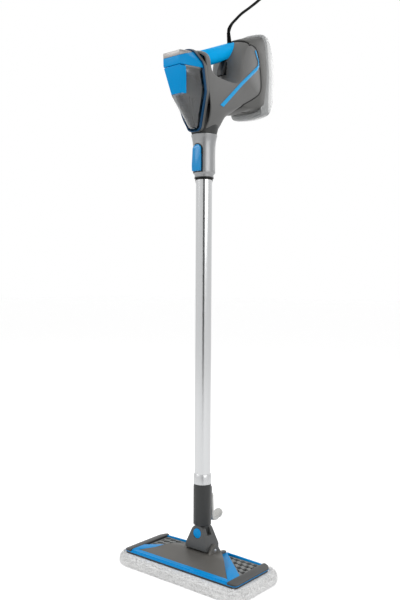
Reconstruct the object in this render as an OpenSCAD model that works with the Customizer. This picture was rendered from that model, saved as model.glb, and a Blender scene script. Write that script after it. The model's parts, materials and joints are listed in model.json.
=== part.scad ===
// Three-in-one steam mop: a floor head on a two-way swivel neck, an aluminium wand with a
// quick-release collar, and a hand steamer with its own water tank that lifts off the wand.
// Frame: origin on the floor on the wand's axis, +Z up, -Y to the front of the mop, millimetres.

/* [Floor head] */
// Length of the floor frame, end to end
foot_len = 302; // [296:2:304]
// Depth of the floor frame, front to back
foot_depth = 128; // [126:1:128]
// Distance of the frame's middle in front of the wand
foot_shift = 20; // [18:1:20]
// How far the mop pad stands out past the frame
pad_margin = 18; // [10:1:20]
// Thickness of the mop pad
pad_t = 22; // [18:1:24]
// Number of slots in each row of a side window
slot_count = 5; // [3:1:6]

/* [Neck] */
// Height of the tilt pivot above the floor
tilt_z = 46; // [45:1:48]
// Height of the roll pivot above the tilt pivot
roll_rise = 33; // [32:1:35]
// Radius of the yoke's rounded top about the roll pivot
yoke_r = 17; // [16:0.5:17.5]
// Length of the yoke's pivot barrel
barrel_w = 56; // [52:2:58]

/* [Wand] */
// Diameter of the aluminium pole
pole_d = 34; // [32:1:35]
// Length of pole that shows between ferrule and collar
pole_show = 626; // [500:2:640]
// Diameter of the lower sleeve
sleeve_d = 38; // [38:1:40]
// Diameter of the collar's flared rim
rim_d = 55; // [54:1:58]
// Travel of the release button
button_travel = 4; // [3:0.5:5]

/* [Hand steamer] */
// Half of the hand steamer's width
hand_w = 42; // [40:1:44]
// Wall thickness of the moulded housings
wall = 2.4; // [2:0.1:2.6]
// Diameter of the blue grip
grip_d = 34; // [32:1:35]

/* [Power cord] */
// Diameter of the power cord
cord_d = 6; // [5.5:0.5:6.5]

/* [Hidden] */

$fn = 64;
fit = 0.05;          // running clearance on a radius
HULL_FN = 32;

// heights
roll_z = tilt_z + roll_rise;
sleeve_z0 = roll_z + 16;
sleeve_z1 = sleeve_z0 + 87;
ferrule_z1 = sleeve_z1 + 22;
collar_z0 = ferrule_z1 + pole_show;
collar_len = 88;
hand_z = collar_z0 + collar_len;
spigot_drop = 41;           // depth of the steam coupling below the collar's rim
spigot_r = 18;
button_back = spigot_r + button_travel + 0.4;   // the button's back face, in front of the wand's axis

// floor head
frame_z = pad_t;
front_y = -foot_shift - foot_depth / 2;
back_y = -foot_shift + foot_depth / 2;
half_len = foot_len / 2;
band_w = 15;               // the blue band along the front
rail_w = 7;                // the rail along the back and sides
pin_r = 4;
hose_r = 4;
end_w = 22;
well_w = barrel_w + 2;      // width of the pivot well between its two cheeks
cheek_t = 7;
neck_half = well_w / 2 + cheek_t;
yoke_foot = 21;             // half of the yoke's depth at its foot, and at its top
yoke_top = 14.5;
cap_y = 15.2;               // where the pivot caps sit in the yoke's faces
band_x = half_len - end_w - 1;      // half of the cover's length at its front edge
seat_gap = 4.2;             // the base plate's thickness, with room for its seal

// hand steamer outlines as [Y, Z] from the rim of the collar: the middle of the body, and its flat cheek
FRONT_CORE = [[-26, 2], [-45, 74], [-56, 128], [-59, 150], [-49, 163], [-34, 168], [-24, 163], [-21, 148],
    [-16, 132], [4, 122], [40, 121], [58, 127], [64, 148], [70, 190], [96, 222], [128, 220], [143, 192],
    [152, 140], [150, 118], [130, 98], [84, 70], [60, 52], [39, 34], [22, 4]];
FRONT_CHEEK = [[-40, 60], [-47, 88], [-53, 120], [-56, 132], [-50, 143], [-41, 145], [-35, 140], [-32, 128],
    [-24, 117], [-6, 112], [40, 112], [66, 117], [79, 138], [84, 176], [100, 206], [127, 206], [139, 182],
    [147, 138], [143, 116], [124, 100], [84, 78], [58, 66], [28, 60], [-6, 55]];
REAR_CORE = [[64, 66], [80, 90], [100, 130], [102, 190], [94, 220], [112, 232], [140, 242], [162, 246], [168, 220],
    [174, 160], [167, 100], [158, 76], [130, 70], [96, 62]];
REAR_CHEEK = [[71, 80], [86, 96], [104, 130], [108, 180], [101, 206], [114, 219], [138, 230], [156, 234], [163, 212],
    [169, 160], [162, 104], [151, 86], [128, 80], [96, 73]];
CADDY_CORE = [[150, 68], [150, 120], [150, 210], [155, 250], [175, 252], [184, 244], [191, 230], [199, 206], [204, 160],
    [200, 108], [189, 74], [172, 63]];
CADDY_CHEEK = [[150, 74], [148, 120], [148, 200], [153, 240], [171, 242], [178, 236], [185, 224], [194, 202], [199, 160],
    [195, 110], [184, 80], [170, 70]];
// how far each ring of a housing stands out from the middle, and how much of the cheek it has
RINGS = [[0, 0], [0.34, 0.08], [0.62, 0.25], [0.81, 0.5], [0.94, 0.78], [1, 1]];

// tank seat: a plane that leans back at its foot, in local X, height V and forward N
seat_y = -28;
seat_z = 4;
seat_tilt = 10.9;
bezel_t = 8;
// ridge of the tank's front, as [V, N, half width]
RIDGE = [[156, 48.5, 22], [132, 52, 22], [75, 48, 13], [10, 15.5, 5]];
seat_top = 165;       // V of the seat's top edge
plate_t = 9;          // thickness of the silver top plate
band_z0 = 122;        // underside of the blue band below it
flap_z0 = 69;
strip_over = 0.6;     // the seam strip is drawn this much wider than the body shells
pad_gap = 0.4;        // gap between the three slabs that stand for the pad
cap_start = 45;       // the closing faces of a skin are drawn from this point of its outline
seam_over = 0.3;      // the joint's cutters stand this far past the cheeks
seam_w = 2.4;         // width of the joint between body shells and rear shell
socket_r = 30;        // neck opening in the body shells
part_gap = 0.02;     // half of the parting line between the two body shells

// grip axis, trigger pivot, flap hinge
GRIP_A = [-30, 149.7];
GRIP_B = [98, 205];
TRIGGER_PIVOT = [66, 171];
FLAP_PIVOT = [-100.9, 119.6];
knuckle_r = 2;

// power cord: out of the strain relief, up and over the left side of the body, and down behind the wand to
// the hank, as [X, Y, Z] from the collar's rim
gland_y = 86;
gland_z = 214;
gland_lean = 9;       // the strain relief leans forward
gland_len = 26;
CORD = [[0, 82, 240], [0, 82.2, 245], [0, 85, 251], [0, 94, 262], [0, 110, 277], [0, 130, 295], [0, 161, 318], [0, 193, 343],
    [0, 224, 369], [-8, 254, 391], [-27, 277, 400], [-45, 278, 391], [-50, 255, 370], [-50, 228, 350],
    [-50, 200, 329], [-50, 177, 309], [-50, 158, 289], [-50, 149, 268], [-50, 149, 240], [-50, 147, 200],
    [-50, 147, 150], [-50, 144, 108], [-50, 124, 80], [-50, 97, 49], [-50, 76, 18], [-49, 64, -10],
    [-45, 55, -34], [-43.3, 52.5, -46], [-43.3, 52.5, -57.5]];
hank_top = -58;
hank_len = 130;
hank_deep = 86;
hank_wide = 30;
tie_w = 3;
view_turn = 39.5;     // the hank lies in the upright plane through the pole at this angle
hank_mid = 68;        // distance of its middle from the pole's axis

blue = "#1b8fd6";
dark_blue = "#1d5f96";
accent_blue = "#2aa7dd";
charcoal = "#4d4f50";
mid_grey = "#6f6f6e";
silver = "#c9cbcc";
light_grey = "#c4c4c2";
black = "#17181a";
clear = [0.86, 0.9, 0.92, 0.45];

// ---------- outlines and lofts ----------
function lerp(a, b, t) = a + (b - a) * t;
function blend(a, b, t) = [for (i = [0:len(a) - 1]) lerp(a[i], b[i], t)];
function curve_point(a, b, c, d, t) =
    0.5 * (2 * b + (c - a) * t + (2 * a - 5 * b + 4 * c - d) * t * t + (3 * b - a - 3 * c + d) * t * t * t);
// a closed smooth curve through the points, with n steps between each two
function smooth_ring(p, n) = let (m = len(p))
    [for (i = [0:m - 1], k = [0:n - 1])
        curve_point(p[(i + m - 1) % m], p[i], p[(i + 1) % m], p[(i + 2) % m], k / n)];
// the same ring moved inwards by d; the ring runs clockwise in Y and Z
function moved_in(r, d) = let (m = len(r))
    [for (i = [0:m - 1]) let (t = r[(i + 1) % m] - r[(i + m - 1) % m], n = [t[1], -t[0]] / norm(t)) r[i] + n * d];
function at_x(r, x) = [for (p = r) [x, p[0], p[1]]];

// closes a list of rings, each with the same number of points, into one solid
module loft(rings, flip = false) {
    n = len(rings[0]);
    m = len(rings);
    points = [for (r = rings) for (p = r) p];
    sides = [for (j = [0:m - 2], i = [0:n - 1]) let (k = (i + 1) % n)
        each [[j * n + i, j * n + k, (j + 1) * n + k], [j * n + i, (j + 1) * n + k, (j + 1) * n + i]]];
    ends = [[for (i = [n - 1:-1:0]) i], [for (i = [0:n - 1]) (m - 1) * n + i]];
    faces = concat(sides, ends);
    polyhedron(points, flip ? [for (f = faces) [for (i = [len(f) - 1:-1:0]) f[i]]] : faces, convexity = 8);
}

module both_halves() {
    children();
    mirror([1, 0, 0]) children();
}
// rings of one half of a housing, moved inwards by d on every side, from the middle out to the cheek
function half_rings(core, cheek, d, first = 0) = [for (r = RINGS)
    at_x(moved_in(smooth_ring(blend(core, cheek, r[1]), 3), d), r[0] == 0 ? first : r[0] * (hand_w - d))];
function mirrored(rings) = [for (i = [len(rings) - 1:-1:1]) [for (p = rings[i]) [-p[0], p[1], p[2]]]];
module housing(core, cheek, d = 0) {
    half = half_rings(core, cheek, d);
    loft(concat(mirrored(half), half));
}
// a cutter with a housing's outline grown by d, carried on past both cheeks
module housing_cutter(core, cheek, d) {
    half = [for (r = RINGS) at_x(moved_in(smooth_ring(blend(core, cheek, r[1]), 3), -d), r[0] * (hand_w + seam_over))];
    far = at_x(moved_in(smooth_ring(cheek, 3), -d), hand_w + 6);
    both = concat(half, [far]);
    loft(concat(mirrored(both), both));
}
// a flat end as a ladder of triangles across an outline of n points
function ladder(n) = [for (k = [0:n / 2 - 2]) let (a = n + cap_start - k, b = cap_start + 1 + k)
    each [[a % n, b % n, (a - 1) % n], [b % n, (b + 1) % n, (a - 1) % n]]];
// one moulded half of a housing as a single closed skin of even thickness, open at its parting face
module half_skin(core, cheek) {
    outer = half_rings(core, cheek, 0, part_gap);
    inner = half_rings(core, cheek, wall, part_gap);
    n = len(outer[0]);
    m = len(outer);
    points = concat([for (i = [m - 1:-1:0]) for (p = outer[i]) p], [for (r = inner) for (p = r) p]);
    sides = [for (j = [0:2 * m - 2], i = [0:n - 1]) let (k = (i + 1) % n)
        each [[j * n + i, (j + 1) * n + k, j * n + k], [j * n + i, (j + 1) * n + i, (j + 1) * n + k]]];
    ends = concat(ladder(n), [for (t = ladder(n)) [for (i = [2:-1:0]) (2 * m - 1) * n + t[i]]]);
    polyhedron(points, concat(sides, ends), convexity = 8);
}

module on_hand() translate([0, 0, hand_z]) children();
module on_seat() translate([0, seat_y, seat_z]) rotate([90 + seat_tilt, 0, 0]) children();
module along_grip() {
    turn = atan2(GRIP_B[1] - GRIP_A[1], GRIP_B[0] - GRIP_A[0]);
    translate([0, GRIP_A[0], GRIP_A[1]]) rotate([turn - 90, 0, 0]) children();
}
grip_len = norm(GRIP_B - GRIP_A);

// outline of the tank seat, seen from the front, moved inwards by d
module shield(d = 0) {
    offset(delta = -d) hull() {
        for (s = [-1, 1]) {
            translate([s * 5, 13]) circle(14);
            translate([s * 20, 78]) circle(22);
            translate([s * 18, 121]) circle(24);
        }
        translate([0, seat_top - 30]) circle(30);
    }
}

// the full outer form of tank, band and top plate, moved inwards by d
module tank_form(d = 0) {
    on_seat() hull() {
        translate([0, 0, 0.4 + (d > 0 ? d : 0)]) linear_extrude(1) shield(3 + d, $fn = HULL_FN);
        for (p = RIDGE) translate([0, p[0], p[1] - 1 - d]) cube([2 * (p[2] - d), 2, 2], center = true);
    }
}
// the slab at the tank's front that the filling flap takes up, grown by d
module flap_zone(d = 0) {
    on_seat() rotate([0, 90, 0]) linear_extrude(60, center = true) offset(delta = d)
        polygon([[-80, 60], [-80, 150], [-41, 150], [-38, 60]]);
}
// everything above the underside of the top plate, which slopes with the tank's top, moved up by d
module plate_zone(d = 0) {
    fall = (seat_top - RIDGE[0][0]) / RIDGE[0][1];
    low = seat_top - plate_t + d;
    on_seat() rotate([0, 90, 0]) linear_extrude(140, center = true)
        polygon([[10, low + 10 * fall], [-70, low - 70 * fall], [-70, 230], [10, 230]]);
}

// ---------- floor head ----------
module rounded_rect(x, y, r) {
    offset(r) square([x - 2 * r, y - 2 * r], center = true);
}

// one soft pad, drawn as three slabs with narrow gaps so that it bears on the floor in three places
module mop_pad() color("white") translate([0, -foot_shift, 0]) difference() {
    union() {
        linear_extrude(pad_t - 4) rounded_rect(foot_len + 2 * pad_margin, foot_depth + 2 * pad_margin, 26);
        translate([0, 0, pad_t - 4]) linear_extrude(2.4) rounded_rect(foot_len + 10, foot_depth + 10, 24);
    }
    for (x = [-1, 1]) translate([x * (foot_len / 2 + pad_margin) / 3, 0, 0])
        cube([pad_gap, 2 * foot_depth, 3 * pad_t], center = true);
}

module hook_strips() color(black) {
    for (x = [-1, 0, 1]) translate([x * 90, -foot_shift, pad_t - 1.6]) linear_extrude(1.6)
        rounded_rect(60, x == 0 ? 40 : 90, 4);
}

// plan of the frame, long front edge straight and back edge bowed a little outwards
module frame_plan(d = 0) {
    offset(delta = -d) hull() {
        for (s = [-1, 1]) {
            translate([s * (half_len - 10), front_y + 10]) circle(10);
            translate([s * (half_len - 16), back_y - 20]) circle(16);
            translate([s * 60, back_y - 16]) circle(16);
        }
    }
}

module window_plan(d = 0) {
    offset(delta = -d) polygon([[neck_half + 7, back_y - rail_w - 4], [half_len - end_w - 1, back_y - rail_w - 3],
        [half_len - end_w, front_y + 43]]);
}

module base_plate() color(charcoal) {
    difference() {
        translate([0, 0, frame_z]) linear_extrude(4) frame_plan(1.5);
        for (s = [0, 1]) mirror([s, 0, 0]) translate([0, 0, frame_z - 1]) linear_extrude(8) window_plan(0.35);
        translate([0, -foot_shift - 8, frame_z - 1]) cylinder(h = 8, r = 4.2);
    }
}

// the frame's ring, set in from its outline: the band in front, the rails at the back and sides
module frame_ring(inset) difference() {
    frame_plan(inset);
    intersection() {
        frame_plan(rail_w);
        translate([-half_len, front_y + band_w]) square([foot_len, foot_depth]);
    }
}
module floor_frame() color(blue) translate([0, 0, frame_z + seat_gap]) {
    linear_extrude(1.2) frame_ring(1.6);
    difference() {
        union() {
            linear_extrude(3) frame_ring(0);
            linear_extrude(5) frame_ring(3);
            // diagonal bands from the front corners up to the neck
            both_halves() linear_extrude(6) polygon([[half_len - end_w + 2, front_y + 6],
                [half_len - end_w + 2, front_y + 41.3], [neck_half + 7, back_y - rail_w - 4],
                [neck_half + 7, back_y - 4], [neck_half + 1, back_y - 4], [neck_half + 1, back_y - 24],
                [band_x + 0.5, front_y + 6]]);
        }
        for (s = [-1, 1]) translate([s * (half_len - end_w / 2 + 1), -foot_shift, 21.2])
            cube([end_w, foot_depth + 20, 40], center = true);
        translate([0, back_y - 20, 24]) cube([2 * neck_half, 60, 40], center = true);
    }
}

// grey cover: a low roof that climbs from the front band to the pivot well
module floor_cover() color(mid_grey) {
    difference() {
        union() {
            intersection() {
                rotate([90, 0, 90]) linear_extrude(foot_len, center = true)
                    polygon([[front_y + band_w + 0.2, frame_z + seat_gap], [front_y + band_w + 0.2, frame_z + 8.6],
                        [-42, tilt_z - 11], [-26, tilt_z - 5], [-14, tilt_z - 4], [back_y - rail_w - 0.3, tilt_z - 10],
                        [back_y - rail_w - 0.3, frame_z + seat_gap]]);
                linear_extrude(80) polygon([[-band_x, front_y + 6], [band_x, front_y + 6],
                    [neck_half + 0.7, back_y - 24], [neck_half + 0.7, back_y - 4],
                    [-neck_half - 0.7, back_y - 4], [-neck_half - 0.7, back_y - 24]]);
            }
            // the two cheeks that hold the tilt pins
            for (s = [-1, 1]) translate([s * (well_w / 2 + cheek_t / 2), 0, 0]) rotate([0, 90, 0])
                linear_extrude(cheek_t, center = true) hull() {
                    translate([-tilt_z, 0]) circle(12);
                    translate([-frame_z - 8, 0]) square([6, 46], center = true);
                }
        }
        translate([0, -foot_shift - 8, frame_z]) cylinder(h = 7.2, r = 4.1);
        // the well in which the barrel turns, open to the back
        translate([0, 0, tilt_z]) rotate([0, 90, 0]) cylinder(h = well_w, r = 14.5, center = true);
        translate([0, 40, frame_z + 24]) cube([well_w, 80, 40], center = true);
        translate([0, 0, tilt_z]) rotate([0, 90, 0]) cylinder(h = 2 * neck_half + 2, r = pin_r, center = true);
    }
}

module grille() {
    rows = 4;
    difference() {
        translate([0, 0, frame_z + 0.5]) linear_extrude(6) window_plan(0.4);
        translate([0, 0, frame_z - 1]) linear_extrude(12) intersection() {
            window_plan(3);
            for (r = [0:rows - 1], c = [0:slot_count - 1])
                translate([58 + c * 15.5 + r * 6, back_y - rail_w - 12 - r * 15]) rotate(-24)
                    square([13, 10], center = true);
        }
    }
}
module left_grille() color(mid_grey) mirror([1, 0, 0]) grille();
module right_grille() color(mid_grey) grille();

module end_cap() {
    foot = frame_z + seat_gap + 1.3;
    inner_x = half_len - end_w + 1.2;
    intersection() {
        translate([0, 0, foot]) linear_extrude(30) frame_plan(0);
        rotate([90, 0, 0]) linear_extrude(300, center = true)
            polygon([[inner_x, foot], [inner_x, frame_z + 10.4], [inner_x + 5, frame_z + 11.2],
                [half_len, frame_z + 7.4], [half_len, foot]]);
    }
}
module left_end_cap() color(charcoal) mirror([1, 0, 0]) end_cap();
module right_end_cap() color(charcoal) end_cap();

module tilt_pins() color(silver) {
    for (s = [-1, 1]) translate([s * (well_w / 2 + cheek_t / 2 - 5), 0, tilt_z]) rotate([0, 90, 0])
        cylinder(h = cheek_t + 10, r = pin_r, center = true);
}

module steam_outlet() color(black) translate([0, -foot_shift - 8, 0]) {
    difference() {
        translate([0, 0, pad_t]) cylinder(h = 7, r = 4);
        translate([0, 0, pad_t - 1]) cylinder(h = 6, r = 2);
    }
}

module base_screws() color(silver) {
    for (x = [-1, 1], y = [front_y + 22, -10]) translate([x * 40, y, frame_z - 0.6]) cylinder(h = 0.6, r = 3.4);
}

// ---------- neck ----------
module yoke() color(charcoal) {
    difference() {
        union() {
            // front and back plates: a rounded top that widens down to the barrel, deeper at the foot
            intersection() {
                rotate([90, 0, 0]) linear_extrude(60, center = true) hull() {
                    translate([0, roll_z]) circle(yoke_r);
                    translate([0, tilt_z + 5]) square([barrel_w, 9], center = true);
                }
                rotate([90, 0, 90]) linear_extrude(barrel_w, center = true)
                    polygon([[-yoke_foot, tilt_z + 0.5], [-yoke_foot, tilt_z + 9], [-yoke_top, roll_z + yoke_r],
                        [yoke_top, roll_z + yoke_r], [yoke_foot, tilt_z + 9], [yoke_foot, tilt_z + 0.5]]);
            }
            translate([0, 0, tilt_z]) rotate([0, 90, 0]) cylinder(h = barrel_w, r = 13, center = true);
        }
        // slot for the wand's tongue, open at the top and, above the pivot, at both sides
        translate([0, 0, roll_z + 26]) cube([90, 12.6, 60], center = true);
        translate([0, 0, roll_z]) rotate([90, 0, 0]) cylinder(h = 12.6, r = 12.4, center = true);
        // pivot bores
        translate([0, 0, roll_z]) rotate([90, 0, 0]) cylinder(h = 50, r = pin_r, center = true);
        translate([0, 0, tilt_z]) rotate([0, 90, 0]) cylinder(h = barrel_w + 2, r = pin_r + fit, center = true);
        // passage for the hose
        translate([0, 0, tilt_z - 14]) cylinder(h = 36, r = 5.4);
        // pockets behind the pivot caps
        for (s = [-1, 1]) translate([0, s * (cap_y + 3), roll_z]) rotate([90, 0, 0]) cylinder(h = 6, r = 10.4, center = true);
    }
}
module roll_pin() color(silver) translate([0, 0, roll_z]) rotate([90, 0, 0])
    cylinder(h = 2 * cap_y - 0.2, r = pin_r, center = true);
module pin_caps() color(blue) for (s = [-1, 1]) translate([0, s * (cap_y + 1.2), roll_z]) rotate([90, 0, 0])
    cylinder(h = 2.4, r = 10.2, center = true);
module neck_hose() color(black) translate([0, 0, tilt_z - 11]) difference() {
    cylinder(h = 31, r = 5.4);
    translate([0, 0, -1]) cylinder(h = 40, r = 2.6);
}

// ---------- wand ----------
module lower_sleeve() color(charcoal) {
    r = sleeve_d / 2;
    difference() {
        union() {
            translate([0, 0, sleeve_z0]) rotate_extrude() polygon([[0, 0], [r - 1.5, 0], [r, 1.5], [r, 80], [r - 0.6, 87], [0, 87]]);
            // boss at the back that carries the cord hook
            translate([0, 0, sleeve_z0 + 34]) intersection() {
                linear_extrude(44) hull() {
                    circle(r);
                    translate([0, r + 1]) square([15, 8], center = true);
                }
                rotate([90, 0, 90]) linear_extrude(60, center = true)
                    polygon([[-30, -1], [-30, 50], [r - 2, 50], [r + 5, 38], [r + 5, 5], [r - 2, -6]]);
            }
        }
        translate([0, 0, sleeve_z0 + 30]) cylinder(h = 80, r = pole_d / 2);
        translate([0, 0, sleeve_z0 - 1]) cylinder(h = 60, r = 8);
        // hollow that clears the yoke's rounded top as the wand rolls
        translate([0, 0, roll_z]) rotate([90, 0, 0]) cylinder(h = 60, r = yoke_r + 0.5, center = true);
        translate([0, 0, sleeve_z0 + 5]) cube([26, 13, 14], center = true);
        translate([0, r + 6, hook_z]) rotate([90, 0, 0]) cylinder(h = 12, r = 3 + fit);
    }
}
hook_z = sleeve_z0 + 55;

// ribbed tongue that hangs from the sleeve into the yoke
module sleeve_tongue() color(mid_grey) {
    difference() {
        union() {
            rotate([90, 0, 0]) linear_extrude(11.6, center = true) hull() {
                translate([0, roll_z]) circle(11);
                translate([0, sleeve_z0 + 8]) square([25, 6], center = true);
            }
            translate([0, 0, sleeve_z0 + 9]) cylinder(h = 12, r = 8);
        }
        translate([0, 0, roll_z]) rotate([90, 0, 0]) cylinder(h = 40, r = pin_r + fit, center = true);
        for (s = [-1, 1], y = [-3.6, 0, 3.6]) translate([s * 13, y, roll_z + 8]) cube([5, 1.8, 24], center = true);
        translate([0, 0, roll_z + 6]) cylinder(h = 60, r = hose_r);
    }
}

module pole_ferrule() color(silver) difference() {
    translate([0, 0, sleeve_z1 + 0.2]) rotate_extrude()
        polygon([[0, 0], [sleeve_d / 2, 0], [sleeve_d / 2, 16], [pole_d / 2 + 0.8, 21.6], [0, 21.6]]);
    translate([0, 0, sleeve_z1 - 1]) cylinder(h = 40, r = pole_d / 2);
}

module pole() color(silver) translate([0, 0, sleeve_z0 + 30]) difference() {
    cylinder(h = hand_z - sleeve_z0 - 30 - spigot_drop, r = pole_d / 2);
    translate([0, 0, -1]) cylinder(h = 900, r = pole_d / 2 - 1.4);
}

module wand_hose() color(black) translate([0, 0, sleeve_z0 + 18]) difference() {
    cylinder(h = hand_z - sleeve_z0 - 18 - 32, r = hose_r);
    translate([0, 0, -1]) cylinder(h = 900, r = 2.4);
}

// outer profile of the collar: a slim body that flares to the rim
module collar_profile(d = 0) {
    polygon([[0, 0], [20 - d, 0], [20 - d, 5], [23.5 - d, 9], [23.2 - d, 40], [23.5 - d, 62], [24.4 - d, 74],
        [26 - d, 82], [rim_d / 2 - d, 87], [rim_d / 2 - d, collar_len], [0, collar_len]]);
}
module button_window(d = 0) {
    offset(delta = d) hull() {
        translate([0, 56]) circle(10.5);
        translate([0, 14]) square([21, 6], center = true);
    }
}
module release_collar() color(silver) difference() {
    translate([0, 0, collar_z0]) rotate_extrude() collar_profile();
    translate([0, 0, collar_z0 - 1]) cylinder(h = collar_len - spigot_drop + 2, r = pole_d / 2);
    translate([0, 0, collar_z0 + 47]) cylinder(h = 60, r = spigot_r);
    translate([0, -10, collar_z0]) rotate([90, 0, 0]) linear_extrude(40) button_window(2.6);
}
module button_surround() color(charcoal) intersection() {
    translate([0, 0, collar_z0]) rotate_extrude($fn = 200) collar_profile(1.2);
    translate([0, -spigot_r - 0.1, collar_z0]) rotate([90, 0, 0]) linear_extrude(40) difference() {
        button_window(2.6);
        button_window(0.5);
    }
}
module collar_ring() color(black) translate([0, 0, collar_z0 - 2.4]) difference() {
    cylinder(h = 2.4, r = 20.4);
    translate([0, 0, -1]) cylinder(h = 8, r = pole_d / 2);
}
module release_button() color(blue) translate([0, 0, collar_z0]) intersection() {
    rotate([90, 0, 0]) linear_extrude(40) button_window(0.15);
    rotate([90, 0, 90]) linear_extrude(40, center = true)
        polygon([[-button_back, 10], [-27.5, 11], [-28.5, 22], [-26.5, 50], [-26, 62], [-24.5, 67],
            [-button_back, 68]]);
}

// steam coupling at the top of the wand, on which the hand steamer sits
module steam_spigot() color(charcoal) translate([0, 0, hand_z - spigot_drop]) difference() {
    union() {
        cylinder(h = spigot_drop, r = spigot_r);
        cylinder(h = spigot_drop + 27, r = 14);
    }
    translate([0, 0, -1]) cylinder(h = 10, r = hose_r);
    translate([0, 0, 20]) cylinder(h = 60, r = 6.4);
    translate([0, 0, -1]) cylinder(h = 40, r = 2.4);
}

// cord hook on the back of the sleeve: a spindle, a flat tongue and a curled lip
module cord_hook() color(light_grey) {
    r = sleeve_d / 2;
    translate([0, r - 1, hook_z]) rotate([-90, 0, 0]) cylinder(h = 6.6, r = 3);
    translate([0, r + 5.4, hook_z]) rotate([-90, 0, 0]) cylinder(h = 4, r = 8);
    rotate([90, 0, 90]) linear_extrude(15, center = true)
        polygon([[r + 5.4, hook_z], [r + 9.4, hook_z + 2], [r + 12, hook_z - 42], [r + 16, hook_z - 48], [r + 24, hook_z - 49],
            [r + 33, hook_z - 44], [r + 37, hook_z - 39], [r + 39, hook_z - 41], [r + 34, hook_z - 50], [r + 24, hook_z - 55],
            [r + 12, hook_z - 54], [r + 6.5, hook_z - 46]]);
    translate([0, r + 35, hook_z - 45]) rotate([52, 0, 0]) scale([1, 1, 1]) difference() {
        cylinder(h = 3.6, r = 11, center = true);
        translate([0, -16, 0]) cube([30, 18, 10], center = true);
    }
}

// ---------- power cord, hank and plug ----------
function open_curve(p, n) = let (m = len(p))
    concat([for (i = [0:m - 2], k = [0:n - 1])
        curve_point(p[max(i - 1, 0)], p[i], p[i + 1], p[min(i + 2, m - 1)], k / n)], [p[m - 1]]);
function unit(v) = v / norm(v);
// carries one side direction along the path without twist
function carried(path, i, s) = i == 0 ? [s] :
    let (before = carried(path, i - 1, s), last = before[len(before) - 1],
        t = unit(path[min(i + 1, len(path) - 1)] - path[i - 1]))
    concat(before, [unit(last - t * (last * t))]);
module tube(path, r, sides = 8) {
    m = len(path);
    side = carried(path, m - 1, [1, 0, 0]);
    rings = [for (i = [0:m - 1])
        let (t = unit(path[min(i + 1, m - 1)] - path[max(i - 1, 0)]), u = side[i], v = cross(t, u))
        [for (k = [0:sides - 1]) path[i] + r * (cos(k * 360 / sides) * u + sin(k * 360 / sides) * v)]];
    loft(rings, true);
}

module power_cord() color(black) on_hand() tube(open_curve(CORD, 2), cord_d / 2);

module along_hank() rotate([0, 0, view_turn]) translate([0, hank_mid, 0]) children();
module cord_hank() color(black) on_hand() along_hank()
    translate([0, 0, hank_top - hank_len / 2]) rotate([90, 0, 90]) linear_extrude(hank_wide, center = true) hull()
        for (s = [-1, 1]) translate([0, s * (hank_len - hank_deep) / 2]) circle(hank_deep / 2);

// strap round the pole and the hank, just under the collar
module hank_tie() color(black) translate([0, 0, collar_z0 - 2.5 - tie_w]) rotate([0, 0, view_turn])
    linear_extrude(tie_w) difference() {
        strap_plan(1.5);
        strap_plan(0.1);
    }
module strap_plan(d) offset(delta = d) hull() {
    circle(pole_d / 2);
    translate([0, hank_mid]) square([hank_wide, hank_deep], center = true);
}

module plug() color(black) on_hand() rotate([0, 0, view_turn])
    translate([0, hank_mid + hank_deep / 2 + 12, collar_z0 - hand_z - 64]) {
        difference() {
            union() {
                cylinder(h = 30, r = 12);
                translate([0, 0, 30]) cylinder(h = 18, r1 = 8, r2 = 4);
            }
            translate([0, 24, 8]) cube([30, 30, 40], center = true);
        }
        // two flat blades
        for (s = [-1, 1]) translate([s * 6.3, 0, -8.5]) cube([1.5, 6.3, 17], center = true);
    }

// ---------- hand steamer ----------
module grip_bar(d = 0) along_grip() cylinder(h = grip_len, r = grip_d / 2 + d);
module front_form(d = 0) housing(FRONT_CORE, FRONT_CHEEK, d);
module rear_form(d = 0) housing(REAR_CORE, REAR_CHEEK, d);
module seat_cut(n) on_seat() translate([-80, -40, n]) cube([160, 260, 60]);
// room for the trigger's lever in the back wall of the finger hole
module trigger_room() translate([0, 64, 158]) cube([17, 27, 34], center = true);

module shell_half() difference() {
    half_skin(FRONT_CORE, FRONT_CHEEK);
    seat_cut(-bezel_t);
    grip_bar(0.02);
    translate([0, 0, -10]) cylinder(h = 72, r = socket_r);
    trigger_room();
}
module right_shell() color(charcoal) on_hand() shell_half();
module left_shell() color(charcoal) on_hand() mirror([1, 0, 0]) shell_half();

module rear_shell() color(mid_grey) on_hand() difference() {
    rear_form();
    rear_form(wall);
    housing_cutter(FRONT_CORE, FRONT_CHEEK, seam_w);
    grip_bar(1);
    translate([0, gland_y, gland_z]) cylinder(h = 60, r = 7);
    // cooling slots in the underside
    for (i = [-2:2]) translate([i * 11, 118, 60]) rotate([8, 0, 0]) cube([6, 34, 40], center = true);
}

// the side of the body shells that faces the rear shell, as a strip from d0 to d1 off their surface
function strip_ring(outline, d0, d1, x) = let (n = len(outline), far = moved_in(outline, -d1), near = moved_in(outline, -d0))
    at_x(concat([for (i = [38:67]) far[i]], [for (i = [67:-1:38]) near[i]]), x);
module seam_strip(d0, d1) {
    half = [for (r = RINGS)
        strip_ring(smooth_ring(blend(FRONT_CORE, FRONT_CHEEK, r[1]), 3), d0, d1, r[0] * (hand_w + strip_over))];
    loft(concat(mirrored(half), half));
}
// soft strip pressed into the joint between the body shells and the rear shell
module seam_gasket() color(black) on_hand() difference() {
    intersection() {
        seam_strip(0.1, seam_w - 0.5);
        rear_form(-0.5);
    }
    rotate([90, 0, 90]) linear_extrude(2 * hand_w - 10, center = true)
        polygon([[76, 74], [96, 70], [150, 84], [160, 160], [154, 226], [118, 222], [104, 206], [100, 140]]);
    grip_bar(1);
    translate([0, gland_y, gland_z]) cylinder(h = 60, r = 7);
}

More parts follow.
